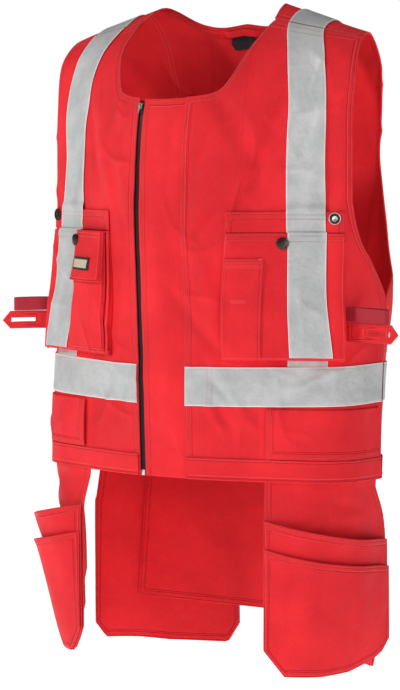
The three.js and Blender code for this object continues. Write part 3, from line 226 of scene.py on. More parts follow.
def row_of_points(stations, mirrored):
    """Points 2 mm apart along one row, and the girth at each station."""
    points = [(-stations[1][0], stations[1][1])] + stations if mirrored else stations
    points = np.array(points, float)
    knots = np.concatenate([[0], np.cumsum(np.hypot(*np.diff(points, axis=0).T))])
    start = knots[1] if mirrored else 0
    at = np.linspace(start, knots[-1], 289)
    line = np.stack([smooth(knots, points[:, 0], at), smooth(knots, points[:, 1], at)], axis=1)
    girth = np.concatenate([[0], np.cumsum(np.hypot(*np.diff(line, axis=0).T))])
    wanted = GIRTH_START + GIRTH_STEP * np.arange(GIRTH_COUNT)
    i = np.clip(np.searchsorted(girth[1:], wanted, side="left"), 0, len(girth) - 2)
    t = ((wanted - girth[i]) / (girth[i + 1] - girth[i]))[:, None]
    places = line[i] * (1 - t) + line[i + 1] * t
    if mirrored:
        beside = [np.interp(-wanted, girth, line[:, k]) for k in (0, 1)]
        flipped = np.stack([-beside[0], beside[1]], axis=1)
        places = np.where((wanted < 0)[:, None], flipped, places)
    marks = np.interp(knots, at, girth)
    return places, marks


def table_surface(ats, stations_at, height_at, outward, mirrored):
    rows, marks = [], []
    for at in ats:
        places, mark = row_of_points(stations_at(at), mirrored)
        heights = height_at(at, places[:, 0])
        rows.append(np.column_stack([places, heights]))
        marks.append(mark)
    return {"ats": ats, "points": np.array(rows), "marks": np.array(marks), "outward": outward}


def bend_weights(t):
    """Weights of four neighbouring values on a smooth curve."""
    return np.stack([
        -0.5 * t + t**2 - 0.5 * t**3,
        1 - 2.5 * t**2 + 1.5 * t**3,
        0.5 * t + 2 * t**2 - 1.5 * t**3,
        -0.5 * t**2 + 0.5 * t**3,
    ])


def spot(surface, girth, at):
    ats, points = surface["ats"], surface["points"]
    v = (at - ats[0]) / (ats[1] - ats[0])
    u = (girth - GIRTH_START) / GIRTH_STEP
    j = np.clip(np.floor(v).astype(int), 1, len(ats) - 3)
    i = np.clip(np.floor(u).astype(int), 1, GIRTH_COUNT - 3)
    along, down = bend_weights(u - i), bend_weights(v - j)
    total = 0
    for q in range(4):
        for p in range(4):
            total = total + (down[q] * along[p])[..., None] * points[j + q - 1, i + p - 1]
    return total


def lifted(surface, girth, at, height):
    """Points that lie height outside the surface. A negative girth is on the wearer's right."""
    girth, at, height = np.broadcast_arrays(*(np.asarray(v, float) for v in (girth, at, height)))
    reach = np.abs(girth)
    side = np.where(np.signbit(girth), -1.0, 1.0)
    across = spot(surface, reach + 1, at) - spot(surface, reach - 1, at)
    down = spot(surface, reach, at + 0.002) - spot(surface, reach, at - 0.002)
    normal = np.cross(across, down) * surface["outward"]
    normal /= np.linalg.norm(normal, axis=-1, keepdims=True)
    place = spot(surface, reach, at) + normal * height[..., None]
    place[..., 0] *= side
    return place


# %% Front and back surfaces
def body_surface(rows, behind):
    table = np.array(rows, float)
    middle = RIDGE[2] * HALF_WIDTH + 13

    def depth(share, side_seam=False):
        deep = np.where((share > 0) & (behind and not side_seam), BACK_DEPTH, FRONT_DEPTH)
        return share * deep

    def stations_at(at):
        stations = [(0, smooth(table[:, 0], depth(table[:, 9]), at))]
        for k in (3, 5, 7):
            x = smooth(table[:, 0], table[:, k] * HALF_WIDTH, at)
            stations.append((x, smooth(table[:, 0], depth(table[:, k + 1], k == 7), at)))
        return [(float(x), float(y)) for x, y in stations]

    def height_at(at, x):
        drop = smooth(table[:, 0], table[:, 1], at)
        tilt = smooth(table[:, 0], table[:, 2], at)
        return SHOULDER_RISE - drop * BODY_LENGTH - tilt * (x - middle)

    ats = np.linspace(table[0, 0] - 0.012, 1.03, 330)
    return table_surface(ats, stations_at, height_at, 1 if behind else -1, True)


FRONT = body_surface(FRONT_ROWS, False)
BACK = body_surface(BACK_ROWS, True)
TAPE_MARK, CORNER_MARK, SIDE_MARK = 2, 3, 4


def girth_of(surface, at, mark):
    return np.interp(at, surface["ats"], surface["marks"][:, mark])


def above_hem(distance):
    return 1 - np.asarray(distance, float) / BODY_LENGTH


print("Hem girth, front and back halves:", round(float(girth_of(FRONT, 1, SIDE_MARK))),
      round(float(girth_of(BACK, 1, SIDE_MARK))))

# %% [markdown]
# ## How the cloth creases
# Coated twill is stiff. It hangs in long soft folds and takes short creases where it is sewn down
# or pulled. Each crease here is a low ridge or hollow at a chosen place. All layers that lie on the
# front share the same creases, so a pocket or a tape bends together with the cloth it is sewn to.

# %% Creases
# Each crease: girth, height above the hem, half length, half width, lean in degrees from the
# vertical, and rise, all but the lean in millimetres.
FRONT_CREASES = [
    (70, 330, 60, 9, 38, -1.6), (78, 352, 70, 11, 40, 1.7), (52, 395, 55, 12, 24, -1.4),
    (120, 420, 75, 16, 18, 1.5), (96, 455, 55, 12, -34, -1.5), (150, 455, 60, 12, 24, -1.6),
    (205, 400, 70, 10, 6, 1.4), (222, 340, 60, 9, 12, -1.6), (238, 250, 70, 11, 5, 1.6),
    (66, 250, 60, 12, -20, 1.2), (60, 190, 60, 9, -40, -1.3), (92, 105, 34, 6, -42, -1.8),
    (104, 92, 36, 7, -46, 1.6), (76, 82, 24, 6, -30, 1.3), (215, 175, 55, 10, 10, -1.3),
    (-60, 385, 60, 12, -30, 1.4), (-72, 340, 55, 11, -18, -1.5), (-110, 420, 70, 15, -14, 1.5),
    (-150, 440, 60, 12, -20, -1.5), (-62, 215, 80, 12, 10, 1.3), (-58, 120, 50, 10, 24, -1.3),
    (-100, 84, 30, 7, 36, 1.4), (-220, 330, 70, 11, -8, 1.5), (-205, 180, 60, 11, -10, -1.4),
    (-84, 470, 45, 11, 30, 1.2), (40, 120, 50, 10, 12, 1.1), (-20, 300, 120, 13, 2, -1.0),
    (4, 180, 110, 14, -3, 1.1), (16, 400, 60, 12, 6, -1.0),
]
BACK_CREASES = [
    (60, 430, 70, 13, 26, 1.5), (-58, 425, 70, 13, -26, 1.5), (0, 330, 110, 16, 2, -1.5),
    (110, 300, 90, 13, 10, 1.6), (-112, 300, 90, 13, -12, 1.6), (190, 330, 70, 11, 16, -1.7),
    (-192, 328, 70, 11, -15, -1.7), (160, 200, 60, 10, 22, 1.5), (-158, 205, 60, 10, -24, 1.5),
    (220, 120, 60, 10, 12, 1.5), (-222, 118, 60, 10, -12, 1.5), (40, 150, 60, 11, -12, -1.4),
    (-44, 160, 60, 11, 14, 1.2), (100, 60, 40, 9, 20, 1.2), (-96, 62, 40, 9, -18, -1.2),
    (85, 210, 50, 9, 60, -1.3), (-80, 215, 50, 9, -62, 1.3), (0, 230, 70, 9, 84, 1.3),
]


def crease_relief(creases, girth, above):
    relief = np.zeros(np.broadcast(girth, above).shape)
    for g, z, length, width, lean, rise in creases:
        turn = math.radians(lean)
        along = (above - z) * math.cos(turn) + (girth - g) * math.sin(turn)
        across = (girth - g) * math.cos(turn) - (above - z) * math.sin(turn)
        ridge = np.exp(-((across / width) ** 2)) - 0.45 * np.exp(-(((across - 1.8 * width) / width) ** 2))
        relief += rise * ridge * np.exp(-((along / length) ** 4))
    return relief


def wrinkles(girth, above, size=1.0):
    """Patches of short sharp creases, each patch with its own direction."""
    relief = 0
    for k, (lean, spacing) in enumerate(((35, 9.0), (-28, 11.0), (8, 13.0), (72, 10.0), (-60, 12.0))):
        turn = math.radians(lean)
        bent = 1.5 * np.sin(girth / 33 + above / 47 + 2.3 * k) + 0.8 * np.sin(girth / 19 - above / 27 + k)
        phase = (girth * math.cos(turn) + above * math.sin(turn)) / spacing + bent
        patch = np.sin(girth / 43 + 1.9 * k + 0.6) * np.sin(above / 51 + 2.6 * k + 1.1)
        relief = relief + soft_step(0.25, 0.95, patch) * (1 - np.abs(np.sin(phase / 2))) ** 4
    return size * relief


def soft_waves(girth, above, size=1.0):
    """Slow unevenness that any worn cloth has."""
    return size * (
        0.8 * np.sin(girth / 31 + above / 83 + 0.7)
        + 0.6 * np.sin(girth / 47 - above / 39 + 2.1)
        + 0.35 * np.sin(girth / 17 + above / 61 + 4.2)
        + 0.25 * np.sin(girth / 23 - above / 21 + 1.3)
    )


CREASE_RISE, WRINKLE_RISE = 2.1, 2.2


def calm_at_seams(surface, girth, at, shoulder):
    """0 at the hem, the shoulder and the side seam, where the cloth is held flat, and 1 between."""
    calm = soft_step(6, 60, (1 - at) * BODY_LENGTH) * soft_step(*shoulder, at)
    return calm * soft_step(0, 45, girth_of(surface, at, SIDE_MARK) - np.abs(girth))


def front_folds(girth, at):
    above = (1 - at) * BODY_LENGTH
    calm = calm_at_seams(FRONT, girth, at, (FRONT_SEAM + 0.002, 0.14))
    calm = calm * (0.3 + 0.7 * soft_step(6, 34, np.abs(girth + ZIP_SIDE)))
    creased = CREASE_RISE * crease_relief(FRONT_CREASES, girth, above) + wrinkles(girth, above, WRINKLE_RISE)
    return calm * (creased + soft_waves(girth, above, 1.1))


def back_folds(girth, at):
    above = (1 - at) * BODY_LENGTH
    creased = CREASE_RISE * crease_relief(BACK_CREASES, girth, above)
    creased = creased + wrinkles(girth + 30, above, WRINKLE_RISE)
    return calm_at_seams(BACK, girth, at, (0.02, 0.16)) * (creased + soft_waves(girth, above, 1.0))


def on_front(girth, at, height):
    return lifted(FRONT, girth, at, height + front_folds(girth, at))


def on_back(girth, at, height):
    return lifted(BACK, girth, at, height + back_folds(girth, at))


print("Creases:", len(FRONT_CREASES), "in front,", len(BACK_CREASES), "behind")

# %% [markdown]
# ## Red coated twill
# The cloth is a tight diagonal weave with a matt coating. Up close it shows fine slanting ribs, and
# further away slow patches of lighter and darker red. Hems are two layers thick, so they stand a
# little proud, pucker beside the stitches and wear paler on the fold. The pattern follows the cloth
# by its UV map, which holds real millimetres, and by an attribute that says how far a point lies
# from the nearest sewn edge.

# %% Material helpers
def new_material(name, color, roughness):
    material = bpy.data.materials.new(name)
    material.use_nodes = True
    shader = material.node_tree.nodes["Principled BSDF"]
    shader.inputs["Base Color"].default_value = (*color, 1)
    shader.inputs["Roughness"].default_value = roughness
    return material, material.node_tree, shader


def add_node(tree, kind, **values):
    """A node with its settings, and its input sockets by name as in sockets={...}."""
    node = tree.nodes.new(kind)
    for name, value in values.pop("sockets", {}).items():
        if isinstance(value, bpy.types.NodeSocket):
            tree.links.new(value, node.inputs[name])
        else:
            node.inputs[name].default_value = value
    for name, value in values.items():
        setattr(node, name, value)
    return node


def math_node(tree, operation, first, second=0.0, third=0.0):
    node = tree.nodes.new("ShaderNodeMath")
    node.operation = operation
    for socket, value in zip(node.inputs, (first, second, third)):
        if isinstance(value, bpy.types.NodeSocket):
            tree.links.new(value, socket)
        else:
            socket.default_value = value
    return node.outputs[0]


def mix_colors(tree, amount, first, second):
    node = tree.nodes.new("ShaderNodeMix")
    node.data_type = "RGBA"
    for socket, value in ((node.inputs[0], amount), (node.inputs[6], first), (node.inputs[7], second)):
        if isinstance(value, bpy.types.NodeSocket):
            tree.links.new(value, socket)
        elif socket is node.inputs[0]:
            socket.default_value = value
        else:
            socket.default_value = (*value, 1)
    return node.outputs[2]


def object_noise(tree, scale, detail=3.0, roughness=0.55):
    place = tree.nodes.new("ShaderNodeTexCoord").outputs["Object"]
    sockets = {"Vector": place, "Scale": scale, "Detail": detail, "Roughness": roughness}
    return add_node(tree, "ShaderNodeTexNoise", sockets=sockets).outputs[0]


def ramp(tree, value, low, high, start=0.0, end=1.0):
    node = tree.nodes.new("ShaderNodeMapRange")
    node.clamp = True
    node.interpolation_type = "SMOOTHSTEP"
    tree.links.new(value, node.inputs[0])
    for socket, number in zip(list(node.inputs)[1:5], (low, high, start, end)):
        socket.default_value = number
    return node.outputs[0]


def bump_chain(tree, shader, reliefs):
    """Bumps on one another. Each relief is (height socket, distance in metres, strength)."""
    before = None
    for height, distance, strength in reliefs:
        node = tree.nodes.new("ShaderNodeBump")
        node.inputs["Distance"].default_value = distance
        node.inputs["Strength"].default_value = strength
        tree.links.new(height, node.inputs["Height"])
        if before is not None:
            tree.links.new(before, node.inputs["Normal"])
        before = node.outputs[0]
    tree.links.new(before, shader.inputs["Normal"])


# %% The weave, from the cloth's own millimetres
def woven_ribs(tree, pitch, lean):
    """Slanting ribs, pitch millimetres apart, with the warp threads crossing them."""
    uv = tree.nodes.new("ShaderNodeUVMap")
    uv.uv_map = "UVMap"
    split = tree.nodes.new("ShaderNodeSeparateXYZ")
    tree.links.new(uv.outputs[0], split.inputs[0])
    slanted = math_node(tree, "MULTIPLY_ADD", split.outputs[1], lean, split.outputs[0])
    ribs = math_node(tree, "SINE", math_node(tree, "MULTIPLY", slanted, 2 * math.pi / pitch))
    threads = math_node(tree, "SINE", math_node(tree, "MULTIPLY", split.outputs[0], 4 * math.pi / pitch))
    return math_node(tree, "MULTIPLY_ADD", threads, 0.35, ribs)


def hem_relief(tree):
    """Height of a two-layer hem: proud to 9.5 mm from the edge, dented at its two stitch rows."""
    edge = add_node(tree, "ShaderNodeAttribute", attribute_name="edge").outputs["Fac"]
    proud = ramp(tree, edge, 9.3, 10.2, 1.0, 0.0)
    dents = []
    for row in (2.5, 8.0):
        away = math_node(tree, "ABSOLUTE", math_node(tree, "SUBTRACT", edge, row))
        dents.append(ramp(tree, away, 0.0, 1.3, 1.0, 0.0))
    dented = math_node(tree, "MAXIMUM", dents[0], dents[1])
    pucker = object_noise(tree, 190, 2.0)
    near_edge = ramp(tree, edge, 2.0, 16.0, 1.0, 0.0)
    puckered = math_node(tree, "MULTIPLY", math_node(tree, "SUBTRACT", pucker, 0.5), near_edge)
    height = math_node(tree, "MULTIPLY_ADD", dented, -0.7, proud)
    return edge, math_node(tree, "MULTIPLY_ADD", puckered, 2.2, height), dented


def red_cloth(name, deep, bright, worn):
    material, tree, shader = new_material(name, bright, 0.62)
    edge, hem, dented = hem_relief(tree)
    patches = ramp(tree, object_noise(tree, 9, 4.0, 0.6), 0.3, 0.72)
    color = mix_colors(tree, patches, deep, bright)
    fleck = ramp(tree, object_noise(tree, 900, 2.0), 0.35, 0.75, 0.0, 0.16)
    color = mix_colors(tree, fleck, color, worn)
    rubbed = math_node(tree, "MULTIPLY", ramp(tree, edge, 0.0, 1.4, 1.0, 0.0), object_noise(tree, 120, 3.0))
    color = mix_colors(tree, math_node(tree, "MULTIPLY", rubbed, 0.3), color, worn)
    # Painted shade: the cloth is darkened towards a deep red in the stitch dents, where shade falls.
    dark = tuple(0.35 * c for c in deep)
    color = mix_colors(tree, math_node(tree, "MULTIPLY", dented, 0.28), color, dark)
    tree.links.new(color, shader.inputs["Base Color"])
    tree.links.new(ramp(tree, object_noise(tree, 60, 3.0), 0.2, 0.8, 0.56, 0.7), shader.inputs["Roughness"])
    shader.inputs["Sheen Weight"].default_value = 0.06
    shader.inputs["Sheen Roughness"].default_value = 0.4
    shader.inputs["Sheen Tint"].default_value = (1, 0.3, 0.3, 1)
    shader.inputs["Specular IOR Level"].default_value = 0.3
    shader.inputs["Specular Tint"].default_value = (1, 0.35, 0.35, 1)
    bump_chain(tree, shader, [
        (object_noise(tree, 26, 4.0, 0.55), 0.006, 0.2),
        (object_noise(tree, 90, 3.0), 0.0016, 0.26),
        (hem, 0.0008, 1.0),
        (woven_ribs(tree, 1.1, 0.8), 0.00008, 0.55),
    ])
    return material


RED_CLOTH = red_cloth("red_coated_twill", (0.71, 0.014, 0.023), (0.9, 0.022, 0.032), (0.97, 0.11, 0.12))
# The wrong side is a darker red, partly as the duller back of the twill and partly as painted shade for the
# inside of the vest.
RED_INSIDE_SHADED = red_cloth("red_twill_wrong_side", (0.42, 0.009, 0.016), (0.54, 0.012, 0.02), (0.66, 0.03, 0.04))
print("Made", RED_CLOTH.name, "and", RED_INSIDE_SHADED.name)

# %% [markdown]
# ## Silver reflective tape
# The tape's face is a film of tiny glass beads, grey in daylight and cloudy where it has been bent.
# It is smoother than the cloth, so it catches broad soft highlights.

# %% Reflective tape
def silver_tape():
    material, tree, shader = new_material("silver_bead_tape", (0.5, 0.51, 0.51), 0.42)
    clouds = ramp(tree, object_noise(tree, 26, 5.0, 0.62), 0.32, 0.7)
    color = mix_colors(tree, clouds, (0.46, 0.47, 0.47), (0.58, 0.585, 0.58))
    place = tree.nodes.new("ShaderNodeTexCoord").outputs["Object"]
    grains = add_node(tree, "ShaderNodeTexVoronoi", sockets={"Vector": place, "Scale": 1400.0})
    beads = grains.outputs["Distance"]
    color = mix_colors(tree, ramp(tree, beads, 0.2, 0.8, 0.0, 0.22), color, (0.34, 0.34, 0.35))
    edge = add_node(tree, "ShaderNodeAttribute", attribute_name="edge").outputs["Fac"]
    color = mix_colors(tree, ramp(tree, edge, 0.7, 1.1, 1.0, 0.0), color, (0.86, 0.84, 0.83))
    tree.links.new(color, shader.inputs["Base Color"])
    tree.links.new(ramp(tree, clouds, 0, 1, 0.6, 0.5), shader.inputs["Roughness"])
    shader.inputs["Metallic"].default_value = 0.12
    away = math_node(tree, "ABSOLUTE", math_node(tree, "SUBTRACT", edge, 2.2))
    bump_chain(tree, shader, [
        (object_noise(tree, 30, 4.0, 0.6), 0.007, 0.4),
        (object_noise(tree, 160, 3.0), 0.0012, 0.25),
        (ramp(tree, away, 0.0, 1.2, 0.0, 1.0), 0.0004, 0.7),
        (beads, 0.00015, 0.3),
    ])
    return material


SILVER_TAPE = silver_tape()
print("Made", SILVER_TAPE.name)


# %% Thread, webbing, metals and small trims
def thread(name, color, lighter):
    material, tree, shader = new_material(name, color, 0.55)
    strands = ramp(tree, object_noise(tree, 1600, 2.0), 0.3, 0.7)
    tree.links.new(mix_colors(tree, strands, color, lighter), shader.inputs["Base Color"])
    shader.inputs["Sheen Weight"].default_value = 0.3
    bump_chain(tree, shader, [(strands, 0.0002, 0.5)])
    return material


def ribbed_webbing(name, deep, bright):
    material, tree, shader = new_material(name, bright, 0.6)
    ribs = woven_ribs(tree, 2.4, 1.0)
    color = mix_colors(tree, ramp(tree, ribs, -1.2, 1.2), deep, bright)
    mottled = ramp(tree, object_noise(tree, 150, 3.0), 0.3, 0.75, 0.0, 0.35)
    tree.links.new(mix_colors(tree, mottled, color, deep), shader.inputs["Base Color"])
    shader.inputs["Sheen Weight"].default_value = 0.03
    bump_chain(tree, shader, [(ribs, 0.0004, 0.8), (object_noise(tree, 400, 2.0), 0.0003, 0.3)])
    return material


def worn_metal(name, color, dull, roughness):
    material, tree, shader = new_material(name, color, roughness)
    shader.inputs["Metallic"].default_value = 0.95
    rubbed = ramp(tree, object_noise(tree, 420, 4.0, 0.65), 0.35, 0.7)
    tree.links.new(mix_colors(tree, rubbed, color, dull), shader.inputs["Base Color"])
    tree.links.new(ramp(tree, rubbed, 0, 1, roughness, roughness + 0.2), shader.inputs["Roughness"])
    bump_chain(tree, shader, [(object_noise(tree, 900, 3.0), 0.0002, 0.25)])
    return material


def black_trim(name, color, pitch, roughness=0.6):
    material, tree, shader = new_material(name, color, roughness)
    ribs = woven_ribs(tree, pitch, 0.0)
    lighter = tuple(3 * c + 0.004 for c in color)
    striped = mix_colors(tree, ramp(tree, ribs, -1.2, 1.2, 0.0, 0.6), color, lighter)
    tree.links.new(striped, shader.inputs["Base Color"])
    bump_chain(tree, shader, [(ribs, 0.0003, 0.6), (object_noise(tree, 500, 2.0), 0.0002, 0.3)])
    return material


RED_THREAD = thread("red_thread", (0.9, 0.09, 0.09), (1.0, 0.2, 0.19))
DARK_THREAD = thread("dark_red_thread", (0.22, 0.02, 0.025), (0.4, 0.035, 0.04))
PALE_THREAD = thread("pale_thread", (0.78, 0.73, 0.72), (0.95, 0.93, 0.92))
ROSE_THREAD = thread("rose_thread", (0.75, 0.13, 0.14), (0.9, 0.3, 0.3))
WEBBING_CLOTH = ribbed_webbing("dark_red_webbing", (0.42, 0.005, 0.02), (0.62, 0.012, 0.04))
# A near-black copy of the webbing, laid inside each loop as painted shade.
LOOP_SHADE_WEBBING = ribbed_webbing("black_webbing_back", (0.008, 0.008, 0.01), (0.03, 0.03, 0.034))
NICKEL = worn_metal("bright_nickel", (0.78, 0.77, 0.75), (0.5, 0.49, 0.48), 0.22)
DULL_STEEL = worn_metal("dull_steel", (0.42, 0.41, 0.4), (0.2, 0.195, 0.19), 0.36)
BRONZE = worn_metal("burnished_bronze", (0.09, 0.062, 0.05), (0.035, 0.026, 0.024), 0.32)
ZIP_PLASTIC = black_trim("black_zip_plastic", (0.009, 0.009, 0.011), 1.2, 0.38)
LABEL_BLACK = black_trim("black_woven_label", (0.01, 0.01, 0.011), 0.9, 0.75)
LABEL_BEIGE = black_trim("beige_woven_label", (0.42, 0.35, 0.26), 0.9, 0.7)
print("Materials:", len(bpy.data.materials))

# %% [markdown]
# ## Cutting a piece of cloth
# Each piece starts as a flat grid, like cloth on a cutting table. Its points are then moved to where
# the piece lies, Solidify gives the cloth its thickness and Bevel rounds the cut edges. The UV map
# keeps the flat millimetres, so the weave never stretches.

# %% Small tools for meshes
def select_only(thing):
    bpy.ops.object.select_all(action="DESELECT")
    thing.select_set(True)
    bpy.context.view_layer.objects.active = thing


def edit_all(thing, action, **settings):
    """One edit of a whole mesh, such as a bevel of all its edges."""
    select_only(thing)
    bpy.ops.object.mode_set(mode="EDIT")
    bpy.ops.mesh.select_all(action="SELECT")
    action(**settings)
    bpy.ops.object.mode_set(mode="OBJECT")


def keep_transform():
    bpy.ops.object.transform_apply(location=True, rotation=True, scale=True)


def take_shape(thing):
    """The points and faces of a modelled piece, which is then removed."""
    points = np.array([v.co for v in thing.data.vertices])
    faces = [tuple(f.vertices) for f in thing.data.polygons]
    bpy.data.objects.remove(thing)
    return points, faces


def new_piece(name, points, faces):
    """An object from points in millimetres."""
    mesh = bpy.data.meshes.new(name)
    mesh.from_pydata((points * 0.001).tolist(), [], faces)
    thing = bpy.data.objects.new(name, mesh)
    bpy.context.collection.objects.link(thing)
    return thing


def join_onto(body, part):
    select_only(body)
    part.select_set(True)
    bpy.ops.object.join()


# %% The cloth maker
pieces = {}
FAR_FROM_EDGE, SINGLE_HEM = 60.0, 5.2


def finish_piece(thing, material, nodes=()):
    select_only(thing)
    bpy.ops.object.shade_smooth_by_angle(angle=math.radians(38))
    had_inner_material = len(thing.data.materials) > 1
    thing.data.materials.clear()
    thing.data.materials.append(material)
    if had_inner_material:
        thing.data.materials.append(RED_INSIDE_SHADED if material is RED_CLOTH else material)
    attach(thing, "root")
    if nodes:
        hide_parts(*nodes)
    return thing


def flat_sizes(corners):
    """Millimetres across and down at each point of a grid of places."""
    across = np.linalg.norm(np.diff(corners, axis=1), axis=2)
    down = np.linalg.norm(np.diff(corners, axis=0), axis=2)
    u = np.concatenate([np.zeros((corners.shape[0], 1)), np.cumsum(across, axis=1)], axis=1)
    v = np.concatenate([np.zeros((1, corners.shape[1])), np.cumsum(down, axis=0)], axis=0)
    u = u - u[:, u.shape[1] // 2][:, None] + u.mean()
    return u, v


def lay_cloth(name, across, down, place, outer, thickness, hems="", join=False, single=False):
    """A sheet of cloth. across and down are shares, place(a, b, lift) gives points in millimetres,
    outer(a, b) is how high its outer face lies, and hems names the sewn edges: l r t b. A single
    hem has one row of stitches."""
    bpy.ops.object.select_all(action="DESELECT")
    columns, rows = len(across), len(down)
    bpy.ops.mesh.primitive_grid_add(x_subdivisions=columns - 1, y_subdivisions=rows - 1, size=1)
    cloth = bpy.context.object
    cloth.name = cloth.data.name = name
    mesh = cloth.data
    flat = np.empty(len(mesh.vertices) * 3)
    mesh.vertices.foreach_get("co", flat)
    flat = flat.reshape(-1, 3)
    i = np.rint((flat[:, 0] + 0.5) * (columns - 1)).astype(int)
    j = np.rint((0.5 - flat[:, 1]) * (rows - 1)).astype(int)
    a, b = np.meshgrid(np.asarray(across, float), np.asarray(down, float))
    corners = place(a, b, outer(a, b))
    mesh.vertices.foreach_set("co", (corners[j, i] * 0.001).ravel())
    u, v = flat_sizes(corners)
    loops = np.empty(len(mesh.loops), int)
    mesh.loops.foreach_get("vertex_index", loops)
    uv = np.stack([u[j, i][loops], v[j, i][loops]], axis=1)
    mesh.uv_layers[0].name = "UVMap"
    mesh.uv_layers[0].data.foreach_set("uv", uv.ravel())
    away = edge_distance(u, v, hems)
    if single:
        away = np.where(away > SINGLE_HEM, FAR_FROM_EDGE, away)
    mesh.attributes.new("edge", "FLOAT", "POINT").data.foreach_set("value", away[j, i])
    mesh.update()
    turn_outwards(cloth, place, a, b, outer, i, j)
    give_thickness(cloth, thickness, join)
    across_it, down_it = corners[1:, 1:] - corners[:-1, :-1], corners[1:, :-1] - corners[:-1, 1:]
    area = float(np.linalg.norm(np.cross(across_it, down_it), axis=2).sum()) / 2
    pieces[name] = {
        "object": cloth, "place": place, "outer": outer, "hems": hems, "size": (u, v), "area": area,
    }
    return cloth


def edge_distance(u, v, hems):
    """Millimetres from each point to the nearest of the named edges."""
    away = np.full(u.shape, FAR_FROM_EDGE)
    reach = {"l": u - u[:, :1], "r": u[:, -1:] - u, "t": v - v[:1], "b": v[-1:] - v}
    for edge in hems:
        away = np.minimum(away, reach[edge])
    return away


def turn_outwards(cloth, place, a, b, outer, i, j):
    """Flips the grid if its faces look inwards."""
    outwards = (place(a, b, outer(a, b) + 1) - place(a, b, outer(a, b)))[j, i]
    normals = np.empty(len(cloth.data.vertices) * 3)
    cloth.data.vertices.foreach_get("normal", normals)
    if np.median((normals.reshape(-1, 3) * outwards).sum(axis=1)) < 0:
        edit_all(cloth, bpy.ops.mesh.flip_normals)


def give_thickness(cloth, thickness, join):
    select_only(cloth)
    if join:
        edit_all(cloth, bpy.ops.mesh.remove_doubles, threshold=0.00002)
    # Inner faces take the darker inside red, which is partly painted shade.
    for face_material in (RED_CLOTH, RED_INSIDE_SHADED):
        cloth.data.materials.append(face_material)
    wall = cloth.modifiers.new("wall", "SOLIDIFY")
    wall.thickness = thickness * 0.001
    wall.material_offset = 1
    wall.offset = -1
    wall.use_even_offset = False
    bpy.ops.object.modifier_apply(modifier="wall")
    fold = cloth.modifiers.new("fold", "BEVEL")
    fold.width = min(0.45, thickness * 0.3) * 0.001
    fold.segments = 2
    fold.limit_method = "ANGLE"
    fold.angle_limit = math.radians(50)
    bpy.ops.object.modifier_apply(modifier="fold")
    mend_points(cloth.data)


def mend_points(mesh):
    """Bevel can lose a point where several folds meet. It goes back to the middle of its neighbours."""
    places = np.empty(len(mesh.vertices) * 3)
    mesh.vertices.foreach_get("co", places)
    places = places.reshape(-1, 3)
    lost = set(np.nonzero(~np.isfinite(places).all(axis=1))[0].tolist())
    for point in lost:
        near = [v for e in mesh.edges if point in e.vertices for v in e.vertices if v not in lost]
        mesh.vertices[point].co = places[near].mean(axis=0)


def steps(length, spacing):
    """Even shares from 0 to 1, about spacing millimetres apart on that length."""
    return np.linspace(0, 1, max(2, int(round(length / spacing))) + 1)


# %% [markdown]
# ## Stitches
# A lockstitch shows as a row of short raised strokes, each dipping into the cloth at both ends. One
# stitch is modelled and bent, and copies of it follow every sewn line, about three to a centimetre.

# %% One stitch
def model_stitch():
    """A rounded stroke, 1 long and 1 across, lying along X with Z outwards."""
    bpy.ops.object.select_all(action="DESELECT")
    bpy.ops.mesh.primitive_cylinder_add(vertices=6, radius=0.5, depth=1, rotation=(0, math.pi / 2, 0))
    keep_transform()
    edit_all(bpy.context.object, bpy.ops.mesh.bisect, plane_co=(0, 0, 0), plane_no=(1, 0, 0))
    points, faces = take_shape(bpy.context.object)
    end = np.abs(points[:, 0]) > 0.4
    points[end, 1:] *= 0.45
    points[end, 2] -= 0.5
    return points, faces


STITCH_POINTS, STITCH_FACES = model_stitch()
STITCH_LENGTH, STITCH_PITCH, STITCH_WIDTH = 2.0, 3.0, 0.7


# %% Rows of stitches
def walk(piece, corners):
    """160 points along each part of a line of (a, b) corners, on a piece's outer face."""
    entry = pieces[piece]
    places, outward = [], []
    for start, end in zip(corners[:-1], corners[1:]):
        t = np.linspace(0, 1, 160)
        a = start[0] + (end[0] - start[0]) * t
        b = start[1] + (end[1] - start[1]) * t
        low = entry["place"](a, b, entry["outer"](a, b))
        high = entry["place"](a, b, entry["outer"](a, b) + 1)
        places.append(low)
        outward.append(high - low)
    return np.concatenate(places), np.concatenate(outward)


def stitch_row(piece, corners, pitch=STITCH_PITCH, length=STITCH_LENGTH, width=STITCH_WIDTH):
    line, outward = walk(piece, corners)
    distance = np.concatenate([[0], np.cumsum(np.linalg.norm(np.diff(line, axis=0), axis=1))])
    keep = np.concatenate([[True], np.diff(distance) > 1e-6])
    line, outward, distance = line[keep], outward[keep], distance[keep]
    count = max(1, int((distance[-1] - 0.5) / pitch))
    middles = (np.arange(count) + 0.5) * distance[-1] / count

    def at(where, values):
        return np.stack([np.interp(where, distance, values[:, k]) for k in range(3)], axis=1)

    centre, up = at(middles, line), at(middles, outward)
    along = at(middles + length / 2, line) - at(middles - length / 2, line)
    along /= np.linalg.norm(along, axis=1, keepdims=True)
    up /= np.linalg.norm(up, axis=1, keepdims=True)
    side = np.cross(up, along)
    p = STITCH_POINTS * (length, width, width)
    return (centre[:, None] + p[None, :, :1] * along[:, None] + p[None, :, 1:2] * side[:, None]
            + (p[None, :, 2:] + 0.12) * up[:, None]).reshape(-1, 3)


def sew(name, rows, material):
    """All rows of stitches of one colour on a piece, as one mesh."""
    points = np.concatenate(rows)
    count = len(points) // len(STITCH_POINTS)
    faces = [tuple(v + k * len(STITCH_POINTS) for v in face) for k in range(count) for face in STITCH_FACES]
    finish_piece(new_piece(name, points, faces), material)


